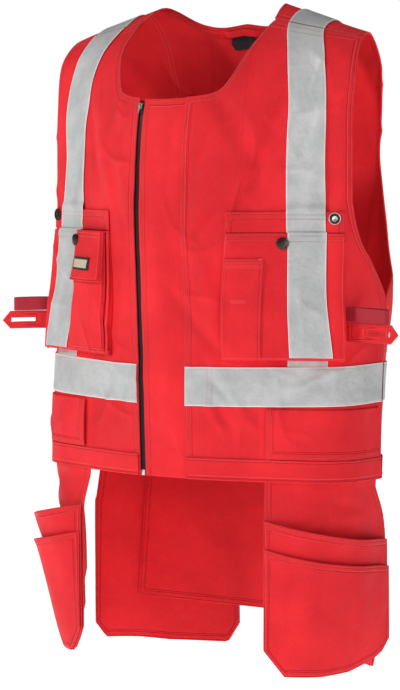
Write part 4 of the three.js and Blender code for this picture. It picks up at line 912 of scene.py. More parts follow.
def hem_rows(piece, hems=None, rows=(2.5, 8.0)):
    """A row of stitches at each inset along each named edge, ended a little short of the corners."""
    entry = pieces[piece]
    u, v = entry["size"]
    width, height = float(np.median(u[:, -1] - u[:, 0])), float(np.median(v[-1] - v[0]))
    made = []
    for inset in rows:
        s, t = inset / width, inset / height
        lines = {"l": [(s, t), (s, 1 - t)], "r": [(1 - s, t), (1 - s, 1 - t)],
                 "t": [(s, t), (1 - s, t)], "b": [(s, 1 - t), (1 - s, 1 - t)]}
        made += [stitch_row(piece, lines[h]) for h in (hems or entry["hems"])]
    return made


print("A stitch has", len(STITCH_FACES), "faces")

# %% [markdown]
# ## The two fronts and the back
# The fronts are cut from the shoulder to the hem, with the armhole curving in and the neckline
# scooped out. The top of each grid follows the neckline and its outer side follows the armhole.
# The back is one panel from neck to hem. Edges are turned in and sewn twice.

# %% Edges of the panels
PLACKET_FOLD, PLACKET_OVERLAP = 36, 14
RIGHT_EDGE = ZIP_SIDE + ZIP_OPENING / 2
PLACKET_EDGE = -(ZIP_SIDE - ZIP_OPENING / 2)


def side_edge(surface, armhole, at):
    corner = girth_of(surface, at, CORNER_MARK)
    side = girth_of(surface, at, SIDE_MARK) - 0.5
    reach = np.maximum(through(armhole, np.maximum(at, armhole[0][0])), 0)
    return np.where(at >= armhole[-1][0], side, corner + reach * (side - corner))


def front_top(girth):
    """Row at which the neckline or the shoulder seam crosses a girth."""
    girth = np.abs(np.asarray(girth, float))
    depth = through(FRONT_NECKLINE, np.minimum(girth / NECK_HALF_WIDTH, 1))
    height = NECK_POINT_Z - depth * FRONT_NECK_DROP
    high, low = np.full(girth.shape, FRONT_SEAM), np.full(girth.shape, 0.35)
    for _ in range(24):
        middle = (high + low) / 2
        above = spot(FRONT, girth, middle)[..., 2] > height
        high, low = np.where(above, middle, high), np.where(above, low, middle)
    return np.where(girth >= NECK_HALF_WIDTH, FRONT_SEAM, high)


def back_top(girth):
    share = np.asarray(girth, float) / NECK_HALF_WIDTH
    return np.where(share >= 1, BACK_SEAM, through(BACK_NECKLINE, np.minimum(share, 1)))


# %% Fronts
def front_cut(side, inner_edge):
    top_edge = girth_of(FRONT, FRONT_SEAM, CORNER_MARK)

    def place(a, b, lift):
        top = front_top(inner_edge + a * (top_edge - inner_edge)) + 1 / BODY_LENGTH
        at = top + b * (1 - top)
        girth = inner_edge + a * (side_edge(FRONT, FRONT_ARMHOLE, at) - inner_edge)
        return on_front(side * girth, at, lift)

    return place


def plain_height(height):
    return lambda a, b: np.full(np.broadcast(a, b).shape, float(height))


def red_piece(stem, *layout, **hems):
    """A piece of red cloth that stands for the CAD part of the same name."""
    return finish_piece(lay_cloth(f"{stem}_cloth", *layout, **hems), RED_CLOTH, [stem])


def tape_piece(stem, *layout, nodes=True, **hems):
    """A length of silver tape that stands for the CAD part of the same name, if there is one."""
    film = lay_cloth(f"{stem}_film", *layout, **hems)
    return finish_piece(film, SILVER_TAPE, [stem] if nodes else [])


SIDES = (("right", -1), ("left", 1))
PANEL_ACROSS = np.concatenate([
    np.linspace(0, 0.2, 20)[:-1], np.linspace(0.2, 0.62, 46)[:-1], np.linspace(0.62, 1, 46),
])
FRONT_DOWN = np.concatenate([np.linspace(0, 0.06, 14)[:-1], np.linspace(0.06, 1, 170)])
for side_name, side, edge in (("right", -1, RIGHT_EDGE), ("left", 1, PLACKET_FOLD)):
    panel = red_piece(f"front_{side_name}", PANEL_ACROSS, FRONT_DOWN, front_cut(side, edge),
                      plain_height(CLOTH), CLOTH, hems="ltr")
    print(panel.name, len(panel.data.polygons), "faces")


# %% Back
def back_cut(a, b, lift):
    reach = np.abs(a)
    top = back_top(reach * girth_of(BACK, BACK_SEAM, CORNER_MARK))
    at = top + b * (1 - top)
    girth = reach * side_edge(BACK, BACK_ARMHOLE, at)
    return on_back(np.where(np.asarray(a) < 0, -girth, girth), at, lift)


back = lay_cloth("back_cloth", np.linspace(-1, 1, 191), FRONT_DOWN, back_cut, plain_height(CLOTH), CLOTH,
                 hems="ltr")
finish_piece(back, RED_CLOTH, ["back_panel"])
print(back.name, len(back.data.polygons), "faces")

# %% [markdown]
# ## Side seams and shoulder seams
# Fronts and back meet under the arms and on the shoulders. A strip of the same cloth lies behind
# each seam, as a felled seam allowance does, so that no light passes between the panels.

# %% Strips behind the side seams
SEAM_TOP, SEAM_END, SEAM_HALF, SEAM_THICK = 0.606, 0.998, 7, 0.9
SEAM_KNOTS = (0, 0.42, 0.58, 1)


def blended(shares, lines):
    """A strip between four lines of points, with the first line at share 0 and the last at 1."""
    weights = [np.interp(shares, SEAM_KNOTS, row)[..., None] for row in np.eye(4)]
    return sum(weight * line for weight, line in zip(weights, lines))


def side_seam_cut(side):
    def place(a, b, lift):
        at = SEAM_TOP + b * (SEAM_END - SEAM_TOP)
        front_mark, back_mark = girth_of(FRONT, at, CORNER_MARK), girth_of(BACK, at, CORNER_MARK)
        followed = [on_front(side * (front_mark - inset), at, lift) for inset in (SEAM_HALF, 0)]
        followed += [on_back(side * (back_mark - inset), at, lift) for inset in (0, SEAM_HALF)]
        return blended(a, followed)

    return place


for side_name, side in SIDES:
    strip = lay_cloth(f"side_seam_{side_name}_cloth", np.linspace(0, 1, 13), steps(230, 3),
                      side_seam_cut(side), plain_height(-LAYER_GAP), SEAM_THICK)
    finish_piece(strip, RED_CLOTH)
    print(strip.name, len(strip.data.polygons), "faces")


# %% Strips behind the shoulder seams
SEAM_SIDES = ((FRONT, on_front, FRONT_SEAM, (SEAM_HALF + 1, 1)), (BACK, on_back, BACK_SEAM, (0, SEAM_HALF)))


def shoulder_seam_cut(side):
    def place(a, b, lift):
        followed = []
        for surface, follow, seam, insets in SEAM_SIDES:
            mark = float(girth_of(surface, seam, CORNER_MARK))
            girth = NECK_HALF_WIDTH + 1.5 + a * (mark - NECK_HALF_WIDTH - 3)
            followed += [follow(side * girth, seam + inset / BODY_LENGTH + 0 * b, lift) for inset in insets]
        return blended(b, followed)

    return place


for side_name, side in SIDES:
    strip = lay_cloth(f"shoulder_seam_{side_name}_cloth", steps(110, 3), np.linspace(0, 1, 13),
                      shoulder_seam_cut(side), plain_height(-LAYER_GAP), SEAM_THICK)
    finish_piece(strip, RED_CLOTH)
    print(strip.name, len(strip.data.polygons), "faces")

# %% [markdown]
# ## Front opening
# Behind the zip a wide placket runs from neck to hem. The wearer's left front is folded over it, so
# that the zip lies to the right of the middle. The zip is black, with moulded teeth on woven tapes,
# a small slider at the top and a pin box at the bottom.

# %% Placket and zip tape
UNDER = -CLOTH - LAYER_GAP


def strip_cut(start, end, top_clearance=0.0, bottom_clearance=0.0):
    def place(a, b, lift):
        girth = start + a * (end - start)
        top = front_top(girth) + (1 + top_clearance) / BODY_LENGTH
        return on_front(girth, top + b * (above_hem(bottom_clearance) - top), lift)

    return place


ZIP_TAPE_HALF = 15
red_piece("placket", steps(80, 3), steps(490, 3.2), strip_cut(PLACKET_EDGE, PLACKET_FOLD + PLACKET_OVERLAP),
          plain_height(UNDER + CLOTH), CLOTH, hems="lt")
zip_tape = lay_cloth("zip_tape_cloth", steps(30, 3), steps(480, 4),
                     strip_cut(-ZIP_SIDE - ZIP_TAPE_HALF, -ZIP_SIDE + ZIP_TAPE_HALF, 2, 2),
                     plain_height(UNDER - LAYER_GAP), 0.8)
finish_piece(zip_tape, ZIP_PLASTIC, ["zip_tape"])
print("Placket and zip tape made")


# %% Zip teeth
TEETH_A_SIDE, TEETH_LIFT = 230, -1.7


def model_tooth():
    """One moulded tooth, 1 long and wide, narrower at its head."""
    bpy.ops.object.select_all(action="DESELECT")
    bpy.ops.mesh.primitive_cube_add(size=1)
    edit_all(bpy.context.object, bpy.ops.mesh.bevel, offset=0.16, segments=1, affect="EDGES")
    points, faces = take_shape(bpy.context.object)
    points[points[:, 0] > 0.2, 1] *= 0.6
    return points, faces


def zip_chain():
    tooth, faces = model_tooth()
    place = strip_cut(-ZIP_SIDE - 2.8, -ZIP_SIDE + 2.8, 3, 7)
    points, all_faces = [], []
    for k in range(TEETH_A_SIDE * 2):
        side = 1 if k % 2 else -1
        b = (k / 2 + 0.25) / TEETH_A_SIDE
        here, beside, below = (place(np.array([s]), np.array([t]), np.array([TEETH_LIFT]))[0]
                               for s, t in ((0.5, b), (0.9, b), (0.5, b + 0.002)))
        across, down = beside - here, below - here
        across, down = across / np.linalg.norm(across), down / np.linalg.norm(down)
        outward = np.cross(down, across)
        size = tooth * (3.1, 1.35, 2.1) * (-side, 1, 1)
        shifted = size[:, :1] * across + size[:, 1:2] * down + size[:, 2:] * outward
        points.append(here + side * 1.15 * across + shifted)
        turned = faces if side < 0 else [face[::-1] for face in faces]
        all_faces += [tuple(v + k * len(tooth) for v in face) for face in turned]
    chain = new_piece("zip_chain", np.concatenate(points), all_faces)
    edit_all(chain, bpy.ops.mesh.normals_make_consistent, inside=False)
    return finish_piece(chain, ZIP_PLASTIC, ["zip_teeth"])


print("Zip teeth:", len(zip_chain().data.polygons), "faces")

# %% [markdown]
# ## Tapes, bands and pockets on the front
# The waistband and the silver tapes lie flat on the cloth. The chest pockets stand off it on pleated
# side walls, so that they hold more. The pen pocket and the phone pocket are patches on them.

# %% Bands round the waist
WAIST_TAPE_ABOVE, TAPE_WIDTH, WAISTBAND_HEIGHT, SAG = 100, 50, 28, 5
PATCH, TAPE_THICK = 1.4, 1


def band_cut(surface, side, inner_edge, bottom, height, sag):
    follow = on_front if surface is FRONT else on_back

    def place(a, b, lift):
        top = above_hem(bottom + height)
        edge = girth_of(surface, top, SIDE_MARK) - 1
        girth = a * edge if inner_edge is None else side * (inner_edge + a * (edge - inner_edge))
        share = np.minimum(np.abs(girth) / edge, 1)
        return follow(girth, top + (b * height + sag * (1 - share**2)) / BODY_LENGTH, lift)

    return place


BANDS = [
    ("right", FRONT, -1, RIGHT_EDGE + 1, 230),
    ("left", FRONT, 1, PLACKET_FOLD + 1, 230),
    ("back", BACK, 1, None, 500),
]
for band_name, surface, side, inner_edge, length in BANDS:
    start = -1 if inner_edge is None else 0
    shares = np.linspace(start, 1, int(length / 3) + 1)
    red_piece(f"waistband_{band_name}", shares, steps(WAISTBAND_HEIGHT, 3),
              band_cut(surface, side, inner_edge, 0.5, WAISTBAND_HEIGHT, 0), plain_height(LOW + PATCH),
              PATCH, hems="tb", single=True)
    sag = SAG if surface is FRONT else 0
    tape_piece(f"waist_tape_{band_name}", shares, steps(TAPE_WIDTH, 3),
               band_cut(surface, side, inner_edge, WAIST_TAPE_ABOVE, TAPE_WIDTH, sag),
               plain_height(LOW + TAPE_THICK), TAPE_THICK, hems="tb")
print("Bands made")

# %% Chest pocket sizes
POCKET_WIDTH, POCKET_HEIGHT, FACING_HEIGHT = 153, 161, 27
POCKET_BOTTOM = WAIST_TAPE_ABOVE + TAPE_WIDTH + 5
MOUTH = POCKET_BOTTOM + POCKET_HEIGHT
FACING_TOP = MOUTH + FACING_HEIGHT
FACING_LOW = LOW + 0.4
MOUTH_LIFT, BELLOWS_DEPTH = 3.4, 19
FACING_THICK, BELLOWS_THICK = 1.6, 1.8


def pocket_girth(a, at):
    return girth_of(FRONT, at, CORNER_MARK) - 8 - (1 - a) * POCKET_WIDTH


def pocket_lift(a, b):
    """Height of the pocket's outer face: a from its inner edge outwards, b from its mouth down."""
    bellows = BELLOWS_DEPTH * np.minimum(1, b * 1.6) * (0.35 + 0.65 * a)
    mouth = MOUTH_LIFT * (0.6 + 0.4 * a)
    return LOW + CLOTH + np.maximum(mouth * (1 - b), 0) * 0.5 + bellows * 0.75


# %% Facing above the mouth, and the bellows pocket
def pocket_place(side, top, height):
    def place(a, b, lift):
        at = above_hem(top - b * height)
        return on_front(side * pocket_girth(a, at), at, lift)

    return place


WALL_STEPS = 7


def bellows_cut(side):
    """The pocket with its walls: shares under 0 or over 1 run down the wall, with a pleat."""
    flat = pocket_place(side, MOUTH, POCKET_HEIGHT)

    def place(a, b, lift):
        fall_a = np.maximum(np.maximum(-a, a - 1), 0)
        fall_b = np.maximum(np.maximum(-b, b - 1), 0)
        fall = np.clip(np.maximum(fall_a, fall_b), 0, 1)
        s, t = np.clip(a, 0, 1), np.clip(b, 0, 1)
        inwards = 5 * np.sin(np.pi * fall) ** 2 * soft_step(0, 0.3, t)
        s = s + np.where(fall_a > 0, np.where(a < 0, inwards, -inwards) / POCKET_WIDTH, 0)
        t = t + np.where((fall_b > 0) & (b > 1), -inwards / POCKET_HEIGHT, 0)
        return flat(s, t, lift)

    return place


def bellows_height(a, b):
    fall = np.clip(np.maximum(np.maximum(-a, a - 1), np.maximum(-b, b - 1)), 0, 1)
    s, t = np.clip(a, 0, 1), np.clip(b, 0, 1)
    top = pocket_lift(s, t)
    rounded = 1.2 * np.exp(-np.minimum(np.minimum(s, 1 - s) * POCKET_WIDTH, (1 - t) * POCKET_HEIGHT) / 1.6)
    return np.where(fall > 0, LOW + 0.3 + (top - rounded - LOW - 0.3) * (1 - fall), top - rounded)


def walled(shares):
    falls = np.linspace(1, 0, WALL_STEPS)[:-1]
    return np.concatenate([-falls, shares, 1 + falls[::-1]])


POCKET_SHARES = np.concatenate([[0, 0.004, 0.01], np.linspace(0.025, 0.975, 58), [0.99, 0.996, 1]])
for side_name, side in SIDES:
    red_piece(f"pocket_facing_{side_name}", steps(POCKET_WIDTH, 3), steps(26, 2.6),
              pocket_place(side, FACING_TOP, FACING_HEIGHT - 1), plain_height(FACING_LOW + FACING_THICK),
              FACING_THICK, hems="tlr")
    down = np.concatenate([[0, 0.006, 0.012], np.linspace(0.03, 0.975, 60), [0.99, 0.996, 1]])
    down = np.concatenate([down, 1 + np.linspace(0, 1, WALL_STEPS)[1:]])
    pocket = red_piece(f"chest_pocket_{side_name}", walled(POCKET_SHARES), down, bellows_cut(side),
                       bellows_height, BELLOWS_THICK, hems="t")
    print(pocket.name, len(pocket.data.polygons), "faces")


# %% Patches on the pockets
def patch(side, start, end, high, low, extra):
    """Cut and outer height of a patch that lies on the pocket, extra millimetres above it."""
    def place(a, b, lift):
        at = above_hem(MOUTH - (high + b * (low - high)))
        return on_front(side * (pocket_girth(0, at) + start + a * (end - start)), at, lift)

    def outer(a, b):
        u = (start + a * (end - start)) / POCKET_WIDTH
        v = (high + b * (low - high)) / POCKET_HEIGHT
        return pocket_lift(u, v) + GAP + extra(a, b)

    return place, outer


def tape_start():
    at = above_hem(MOUTH - POCKET_HEIGHT / 2)
    return float(girth_of(FRONT, at, TAPE_MARK) - pocket_girth(0, at)) - TAPE_WIDTH / 2


TAPE_FROM, POCKET_END, TAPE_OVER, TAPE_LEAN = tape_start(), POCKET_HEIGHT - 3, -1.5, 4.5
PEN_WIDTH, PEN_TOP = 52, POCKET_HEIGHT - 129
PHONE_WIDTH, PHONE_FLAP, PHONE_DEPTH = 80, 66, 12
PHONE_FROM = TAPE_FROM - PHONE_WIDTH - 1


def pocket_tape_cut(side):
    """The pocket's tape leans: its lower end lies further out than its upper end."""
    def place(a, b, lift):
        down = TAPE_OVER + b * (POCKET_END - TAPE_OVER)
        at = above_hem(MOUTH - down)
        start = TAPE_FROM + TAPE_LEAN * (2 * b - 1)
        return on_front(side * (pocket_girth(0, at) + start + a * TAPE_WIDTH), at, lift)

    return place


def pocket_tape_height(a, b):
    u = (TAPE_FROM + TAPE_LEAN * (2 * b - 1) + a * TAPE_WIDTH) / POCKET_WIDTH
    v = np.maximum(TAPE_OVER + b * (POCKET_END - TAPE_OVER), 0) / POCKET_HEIGHT
    return pocket_lift(u, v) + GAP + 1.4


for side_name, side in SIDES:
    tape_piece(f"pocket_tape_{side_name}", steps(50, 3), steps(158, 3), pocket_tape_cut(side),
               pocket_tape_height, TAPE_THICK, hems="lr")
red_piece("pen_pocket", steps(PEN_WIDTH, 2.2), steps(129, 2.4),
          *patch(1, 1.5, PEN_WIDTH, PEN_TOP, POCKET_END, plain_height(1.8)), PATCH, hems="lrt", single=True)
print("Pocket tapes and pen pocket made")


# %% Phone pocket and its flap
FLAP_RISE = 5.0


def phone_bulge(a, b):
    across = np.maximum(np.sin(np.pi * np.clip(a, 0, 1)), 0) ** 0.38
    return 0.4 + PHONE_DEPTH * across * np.sin(np.pi * (0.12 + 0.8 * b)) ** 0.6


def flap_bulge(a, b):
    """The flap follows the pocket, and its lower edge stands FLAP_RISE further out."""
    return phone_bulge(a, b * PHONE_FLAP / POCKET_END) + PATCH + GAP + 0.6 + FLAP_RISE * b**2


for stem, length, spacing, bulge in (("phone_pocket", POCKET_END, 2.4, phone_bulge),
                                     ("phone_flap", PHONE_FLAP, 2, flap_bulge)):
    red_piece(stem, steps(PHONE_WIDTH, 2), steps(length, spacing),
              *patch(-1, PHONE_FROM, PHONE_FROM + PHONE_WIDTH, 0, length,
                     lambda a, b, f=bulge: f(a, b) + PATCH),
              PATCH, hems="lrb", single=True)
LABEL_WIDE, LABEL_HIGH, LABEL_RIM = 46, 17, 3
LABEL_FROM, LABEL_TOP = PHONE_FROM + (PHONE_WIDTH - LABEL_WIDE) / 2, PHONE_FLAP * 0.52
LABEL_END, LABEL_BOTTOM = LABEL_FROM + LABEL_WIDE, LABEL_TOP + LABEL_HIGH


def label_lift(a, b):
    across = (a * LABEL_WIDE + (PHONE_WIDTH - LABEL_WIDE) / 2) / PHONE_WIDTH
    down = (b * LABEL_HIGH + LABEL_TOP) / PHONE_FLAP
    return flap_bulge(across, down) + PATCH + GAP + 0.5 + 0.8


def middle_lift(a, b):
    """Height of the label's beige middle, which starts LABEL_RIM inside the label's edge."""
    across = (LABEL_RIM + (LABEL_WIDE - 2 * LABEL_RIM) * a) / LABEL_WIDE
    down = (LABEL_RIM + (LABEL_HIGH - 2 * LABEL_RIM) * b) / LABEL_HIGH
    return label_lift(across, down) + 0.4


label = lay_cloth("flap_label_cloth", steps(46, 2), steps(17, 2),
                  *patch(-1, LABEL_FROM, LABEL_END, LABEL_TOP, LABEL_BOTTOM, label_lift), 0.8)
finish_piece(label, LABEL_BLACK, ["flap_label"])
middle = patch(-1, LABEL_FROM + LABEL_RIM, LABEL_END - LABEL_RIM, LABEL_TOP + LABEL_RIM,
               LABEL_BOTTOM - LABEL_RIM, middle_lift)
inner_label = lay_cloth("flap_label_middle", steps(40, 2), steps(12, 2), *middle, 0.4)
finish_piece(inner_label, LABEL_BEIGE)
print("Phone pocket, flap and label made")


# %% Tape on the body
def tape_cut(surface, side, start, end):
    """A length of tape down the body, from row start to row end."""
    follow = on_front if surface is FRONT else on_back

    def place(a, b, lift):
        at = start + b * (end - start)
        return follow(side * (girth_of(surface, at, TAPE_MARK) + (a - 0.5) * TAPE_WIDTH), at, lift)

    return place


WAIST_TAPE_TOP = WAIST_TAPE_ABOVE + TAPE_WIDTH
FRONT_TAPE = (FRONT_SEAM + 1 / BODY_LENGTH, above_hem(MOUTH + 1))
BACK_TAPE = (BACK_SEAM + 1 / BODY_LENGTH, above_hem(WAIST_TAPE_TOP + 1))
LOWER_TAPE = (above_hem(POCKET_BOTTOM + 4), above_hem(WAIST_TAPE_TOP - 3))


def front_tape_height(a, b):
    at = FRONT_TAPE[0] + b * (FRONT_TAPE[1] - FRONT_TAPE[0])
    risen = soft_step(0, 0.015, at - (above_hem(FACING_TOP) - 0.02))
    chest = 0.6 * np.clip(1.4 - b * 5, 0, 1)
    return LOW + TAPE_THICK + chest + risen * (FACING_LOW - LOW + FACING_THICK + GAP) + 0 * a


for side_name, side in SIDES:
    across = steps(TAPE_WIDTH, 3)
    tape_piece(f"lower_tape_{side_name}", across, steps(12, 2), tape_cut(FRONT, side, *LOWER_TAPE),
               plain_height(CLOTH + 0.75), 0.6, hems="lr", nodes=False)
    tape_piece(f"front_tape_{side_name}", across, steps(250, 2.6), tape_cut(FRONT, side, *FRONT_TAPE),
               front_tape_height, TAPE_THICK, hems="lr")
    tape_piece(f"back_tape_{side_name}", across, steps(470, 3), tape_cut(BACK, side, *BACK_TAPE),
               plain_height(LOW + 1.15), TAPE_THICK, hems="lr")


# %% Hand pockets
HAND_POCKET_WIDTH = 162


def hand_pocket_cut(side):
    high, low = WAIST_TAPE_ABOVE - 2 - SAG, WAISTBAND_HEIGHT + 2

    def place(a, b, lift):
        at = above_hem(high - b * (high - low))
        edge = girth_of(FRONT, at, SIDE_MARK) - 6
        return on_front(side * (edge - (1 - a) * HAND_POCKET_WIDTH), at, lift)

    return place


def hand_pocket_height(a, b):
    return LOW + CLOTH + 3.0 * np.maximum(0, 1 - a * 3) * np.sin(np.pi * (0.15 + 0.7 * b))


for side_name, side in SIDES:
    red_piece(f"hand_pocket_{side_name}", steps(HAND_POCKET_WIDTH, 2.5), steps(63, 2.5),
              hand_pocket_cut(side), hand_pocket_height, CLOTH, hems="lb")
print("Tapes and hand pockets made")

# %% [markdown]
# ## Hanging pouches
# Two holsters hang from inside the front hem, each a backing with an inner and an outer pouch whose
# mouths slope down to the back. Two flat pouches and a tail flap hang behind. They hang free, so the
# cloth bows outwards at the mouths and lies flat where it is sewn.

# %% Holster surface
HOLSTER_LENGTH, TUCK, POUCH_EDGE = 249, 14, 0.8
HOLSTER_ROWS = [
    (0.2, [(0.582, -0.765), (0.81, -0.61), (0.95, -0.32), (0.988, 0.03)]),
    (0.45, [(0.582, -0.77), (0.785, -0.58), (0.915, -0.27), (0.986, 0.08)]),
    (1, [(0.582, -0.775), (0.775, -0.58), (0.9, -0.26), (0.984, 0.1)]),
]
HOLSTER_BASE = [(0, 0.14), (0.15, 0.005), (0.4, 0), (0.62, 0.012), (0.84, 0.06), (0.93, 0.095), (1, 0.16)]
BACKING_BASE = [(0, 0.15), (0.15, 0.015), (0.4, 0.01), (0.62, 0.03), (0.78, 0.11), (0.9, 0.24), (1, 0.36)]
REAR_BASE = [(0, 0.09), (0.07, 0.01), (0.5, 0), (0.92, 0.015), (1, 0.12)]


def holster_surface():
    rows = []
    for below in (-TUCK / HOLSTER_LENGTH, 0, 0.03):
        at = above_hem(max(-below * HOLSTER_LENGTH, 0))
        width = float(girth_of(FRONT, at, SIDE_MARK))
        girth = 0.985 * width - 0.535 * width * (1 - np.linspace(0, 1, 4))
        rows.append((below, lifted(FRONT, girth, at, UNDER - LAYER_GAP)[:, :2]))
    for below, stations in HOLSTER_ROWS:
        rows.append((below, np.array(stations) * (HALF_WIDTH, FRONT_DEPTH)))
    knots = [row[0] for row in rows]

    def stations_at(at):
        table = np.array([row[1] for row in rows])
        return [tuple(float(smooth(knots, table[:, k, c], at)) for c in (0, 1)) for k in range(4)]

    ats = np.linspace(knots[0] - 0.01, 1.02, 160)
    return table_surface(ats, stations_at, lambda at, x: HEM_Z - at * HOLSTER_LENGTH + 0 * x, -1, False)


HOLSTER = holster_surface()


def cut_at(profile, across):
    return np.interp(across, [row[0] for row in profile], [row[1] for row in profile])


HOLSTER_CREASES = [(60, -34, 26, 8, 62, 1.3), (110, -30, 24, 8, 100, -1.3), (84, -52, 30, 7, 80, 1.0),
                   (40, -130, 60, 12, 8, -1.4), (120, -150, 50, 14, -12, 1.4), (150, -110, 50, 10, 6, -1.2)]


def holster_folds(girth, below):
    calm = soft_step(0, 30, below) * soft_step(0, 18, girth)
    return calm * (crease_relief(HOLSTER_CREASES, girth, -below) + soft_waves(girth + 40, below, 0.55))


def holster_cut(side, mouth, slope, base=HOLSTER_BASE):
    def place(a, b, lift):
        top = (mouth + slope * a) / HOLSTER_LENGTH
        at = top + b * (1 - cut_at(base, a) - top)
        width = np.interp(at, HOLSTER["ats"], HOLSTER["marks"][:, -1])
        return lifted(HOLSTER, side * a * width, at, lift + holster_folds(a * width, at * HOLSTER_LENGTH))

    return place


def pouch_bulge(depth, a, b):
    return depth * np.maximum(np.sin(np.pi * np.clip(a, 0, 1)), 0) ** 0.75 * np.maximum(1 - b, 0) ** 0.8


INNER_MOUTH, OUTER_MOUTH, MOUTH_SLOPE, INNER_BULGE, OUTER_BULGE = 49, 84, 30, 34, 9
FULLNESS = {-1: 1.0, 1: 0.5}


def inner_height(a, b, side):
    return 2 * CLOTH + POUCH_EDGE + FULLNESS[side] * pouch_bulge(INNER_BULGE, a, b)


def outer_height(a, b, side):
    inner_mouth = INNER_MOUTH + MOUTH_SLOPE * a
    depth = OUTER_MOUTH + MOUTH_SLOPE * a + b * (HOLSTER_LENGTH - OUTER_MOUTH - MOUTH_SLOPE * a)
    on_inner = (depth - inner_mouth) / (HOLSTER_LENGTH - inner_mouth)
    bulge = FULLNESS[side] * pouch_bulge(OUTER_BULGE, a, b)
    return inner_height(a, on_inner, side) + CLOTH + POUCH_EDGE + bulge


# %% Holsters
for side_name, side in SIDES:
    red_piece(f"holster_{side_name}", steps(190, 2.8), steps(262, 2.8),
              holster_cut(side, -TUCK, 0, BACKING_BASE), plain_height(CLOTH), CLOTH, hems="lr")
    for stem, mouth, length, height in (("inner_pouch", INNER_MOUTH, 190, inner_height),
                                        ("outer_pouch", OUTER_MOUTH, 150, outer_height)):
        pouch = red_piece(f"{stem}_{side_name}", steps(190, 2.6), steps(length, 2.6),
                          holster_cut(side, mouth, MOUTH_SLOPE),
                          lambda a, b, f=height, s=side: f(a, b, s), CLOTH, hems="lrtb")
        print(pouch.name, len(pouch.data.polygons), "faces")

# %% Rear pouches and tail flap
REAR_LENGTH, REAR_INNER, REAR_MOUTH, REAR_BULGE = 259, 32, 60, 16
REAR_FLARE = {-1: 9, 1: -15}
REAR_INSET, TAIL_INSET = CLOTH + LAYER_GAP, 2 * (CLOTH + LAYER_GAP) + 1.5
TAIL_LENGTH, TAIL_HALF = 198, 170


def hang_behind(girth, below, inset):
    at = above_hem(np.maximum(-below, 0))
    swing = 1.2 * np.sin(girth / 38 + 1) * below / 200
    loose = soft_step(5, 90, below) * (soft_waves(girth * 0.8, below, 1.0) + swing)
    place = lifted(BACK, girth, at, -inset + loose)
    place[..., 2] = np.where(below > 0, HEM_Z - below, place[..., 2])
    return place


def rear_cut(side, mouth):
    outer_edge = float(girth_of(BACK, 1, CORNER_MARK)) - 4

    def place(a, b, lift):
        bottom = REAR_LENGTH * (1 - cut_at(REAR_BASE, a))
        below = mouth + b * (bottom - mouth)
        settled = np.clip(below / (REAR_LENGTH * 0.25), 0, 1)
        girth = outer_edge - a * (outer_edge - REAR_INNER) + settled * REAR_FLARE[side] * (1 - a)
        return hang_behind(side * girth, below, REAR_INSET - lift)

    return place


def tail_cut(a, b, lift):
    bottom = TAIL_LENGTH * (1 + 0.02 * (1 - a * a))
    below = -TUCK + b * (bottom + TUCK)
    widen = 1 + 0.09 * np.clip(below / TAIL_LENGTH, 0, 1)
    return hang_behind(a * TAIL_HALF * widen, below, TAIL_INSET - lift)


for side_name, side in SIDES:
    red_piece(f"rear_pouch_{side_name}", steps(150, 2.8), steps(270, 2.8), rear_cut(side, -TUCK),
              plain_height(CLOTH), CLOTH, hems="lrb")
    red_piece(f"rear_pocket_{side_name}", steps(150, 2.8), steps(199, 2.8), rear_cut(side, REAR_MOUTH),
              lambda a, b: 2 * CLOTH + POUCH_EDGE + pouch_bulge(REAR_BULGE, a, b), CLOTH, hems="lrtb")
red_piece("tail_flap", np.linspace(-1, 1, 128), steps(212, 2.8), tail_cut, plain_height(CLOTH), CLOTH,
          hems="lrb")
print("Rear pouches and tail made")

# %% [markdown]
# ## Inside the back neck
# A narrow facing covers the raw edge of the back neck, and a loop of the same cloth is caught in it
# for hanging the vest on a hook. A small black label below it is left plain.

# %% Neck facing, hanger loop and label
NECK_STEP, FACING_STRIP = 0.05, 1
NECK_HALF = float(girth_of(BACK, BACK_SEAM, CORNER_MARK))


def inside_neck(share, below, lift):
    """A place inside the back neck, that far below its edge."""
    edge, lower = back_cut(share, 0 * share, lift), back_cut(share, 0 * share + NECK_STEP, lift)
    return edge + (lower - edge) * (below / (NECK_STEP * BODY_LENGTH))[..., None]


def neck_facing_cut(a, b, lift):
    return inside_neck(a, 0.4 + b * 8, lift)


def hanger_cut(a, b, lift):
    return inside_neck(a * 40 / NECK_HALF, 1.5 + b * 6, lift)


def hanger_height(a, b):
    return -2 * LAYER_GAP - 1 - 6 * np.maximum(0, 1 - (np.abs(a) / 0.8) ** 4) - 0.5 * np.sin(np.pi * b)


def neck_label_cut(a, b, lift):
    taper = 1 - 0.22 * np.abs(2 * b - 1)
    return inside_neck((a * 20 * taper - 8) / NECK_HALF, 8.5 + b * 13, lift)


facing = red_piece("neck_facing", np.linspace(-0.42, 0.42, 71), steps(8, 2), neck_facing_cut,
                   plain_height(-LAYER_GAP), FACING_STRIP, hems="b")
hanger = red_piece("hanger_loop", np.linspace(-1, 1, 41), steps(6, 1), hanger_cut, hanger_height, 1.3)
for thing in (facing, hanger):
    thing.data.materials[1] = RED_CLOTH
label = lay_cloth("neck_label_cloth", np.linspace(-1, 1, 15), np.linspace(0, 1, 9), neck_label_cut,
                  plain_height(-LAYER_GAP), 0.8)
finish_piece(label, LABEL_BLACK, ["neck_label"])
print("Neck facing, loop and label made")

# %% [markdown]
# ## Metal parts
# Each press stud is turned from one disc: a rim, a sunk ring and a post. Its cap is a low dark dome.
# They are modelled lying flat, by insetting and raising the top face, and then set on the cloth.

